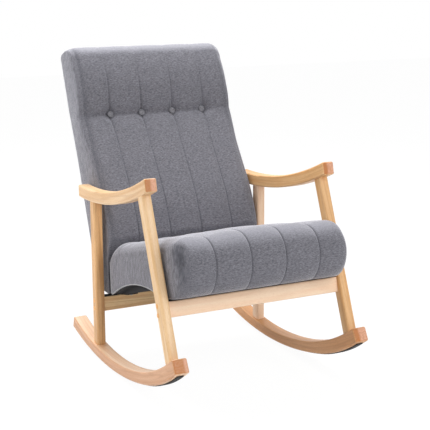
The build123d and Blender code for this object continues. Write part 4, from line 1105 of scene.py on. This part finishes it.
def back_painted_shade(x, y, z):
    """How much painted shade a point of the back cover gets, near a sewn line, beside a side panel, in the
    crease and round a button, from 0 to 1.
    """
    a, b = to_back(y, z)
    if b < BACK_SHADE_FROM_B or abs(x) > BACK_PANEL_SEAM_X:
        return 0.0
    near, above = seam_distance(x), a - BUTTON_A
    if above < 0:
        full = BACK_SEAM_LEAST + (1 - BACK_SEAM_LEAST) * min(1, -above / SEAM_GROWS)
    else:
        full = max(0, 1 - above / HEAD_SEAM_LONG)
    on_seam = full * exp(-((near / BACK_SEAM_SHADE) ** 2))
    off_panel = BACK_PANEL_SEAM_X - PANEL_SHADE_IN - abs(x)
    beside_panel = PANEL_SHADE[0] * exp(-((off_panel / PANEL_SHADE[1]) ** 2))
    in_dimple = DIMPLE_SHADE[0] * exp(-((near**2 + above**2) / DIMPLE_SHADE[1] ** 2))
    in_crease = CREASE_SHADE[0] * crease_share(x) * exp(-((above / CREASE_SHADE[1]) ** 2))
    return max(on_seam, beside_panel, in_dimple, in_crease)


# Painted shade of each point, kept in the point attribute sewn that the fabric darkens by
for cover, sewn in ((seat_cover, seat_painted_shade), (back_cover, back_painted_shade)):
    values = [sewn(*(v.co / MM)) for v in cover.data.vertices]
    cover.data.attributes.new("sewn", "FLOAT", "POINT").data.foreach_set("value", values)

# Floor and background: white to the camera, with the object's shadow kept
LIGHT_LEVEL = 0.38
FLOOR_GLOW = 1.06
FLOOR_GLOW_SHARE = 0.9
FLOOR_HALF = 9
FLOOR_Z = -0.0005


def seen_directly(tree):
    """Socket that is 1 for what the camera sees, also in a reflection or through a surface, and else 0."""
    rays = add(tree, "ShaderNodeLightPath").outputs
    mirrored = math(tree, "MAXIMUM", rays["Is Glossy Ray"], rays["Is Transmission Ray"])
    return math(tree, "MAXIMUM", rays["Is Camera Ray"], mirrored)


floor_corners = [(x * FLOOR_HALF, y * FLOOR_HALF, FLOOR_Z) for x, y in ((-1, -1), (1, -1), (1, 1), (-1, 1))]
floor = new_mesh("floor", floor_corners, [(0, 1, 2, 3)])
material, tree, shader = new_material("floor", roughness=1.0, base_color=(0.75, 0.75, 0.75, 1))
glow = add(tree, "ShaderNodeEmission", {"Color": (1, 1, 1, 1), "Strength": FLOOR_GLOW})
share = math(tree, "MULTIPLY", seen_directly(tree), FLOOR_GLOW_SHARE)
blend = add(tree, "ShaderNodeMixShader", {0: share, 1: shader.outputs[0], 2: glow.outputs[0]})
tree.links.new(blend.outputs[0], tree.nodes["Material Output"].inputs["Surface"])
floor.data.materials.append(material)

world = bpy.data.worlds.new("studio")
bpy.context.scene.world = world
world.use_nodes = True
tree = world.node_tree
background = tree.nodes["Background"].inputs
background["Color"].default_value = (1, 1, 1, 1)
tree.links.new(spread(tree, seen_directly(tree), 0, 1, LIGHT_LEVEL, 1.0), background["Strength"])

LAMP_SIZE = 2.0


def lamp(name, place, aim, power):
    """Soft square lamp that points at a place."""
    data = bpy.data.lights.new(name, "AREA")
    data.energy = power
    data.size = LAMP_SIZE
    obj = bpy.data.objects.new(name, data)
    obj.location = place
    obj.rotation_mode = "QUATERNION"
    obj.rotation_quaternion = (Vector(aim) - Vector(place)).to_track_quat("-Z", "Y")
    bpy.context.scene.collection.objects.link(obj)


lamp("top", place=(0.0, 1.1, 3.1), aim=(0, 0, 0.4), power=112)
lamp("front", place=(0.8, -3.2, 2.2), aim=(0, 0, 0.5), power=58)
lamp("side", place=(-3.0, 0.7, 1.3), aim=(0, 0, 0.45), power=36)

# Camera, fitted to the photo
CAMERA_PLACE = (-1.4851, -3.0552, 1.2456)
CAMERA_LOOK = (0.4394, 0.8699, -0.2241)
CAMERA_LENS = 91.44
CAMERA_SENSOR = 36
camera_data = bpy.data.cameras.new("camera")
camera_data.lens = CAMERA_LENS
camera_data.sensor_width = CAMERA_SENSOR
camera = bpy.data.objects.new("camera", camera_data)
camera.location = CAMERA_PLACE
camera.rotation_mode = "QUATERNION"
camera.rotation_quaternion = Vector(CAMERA_LOOK).to_track_quat("-Z", "Y")
bpy.context.scene.collection.objects.link(camera)
bpy.context.scene.camera = camera
bpy.context.scene.view_settings.view_transform = "Standard"
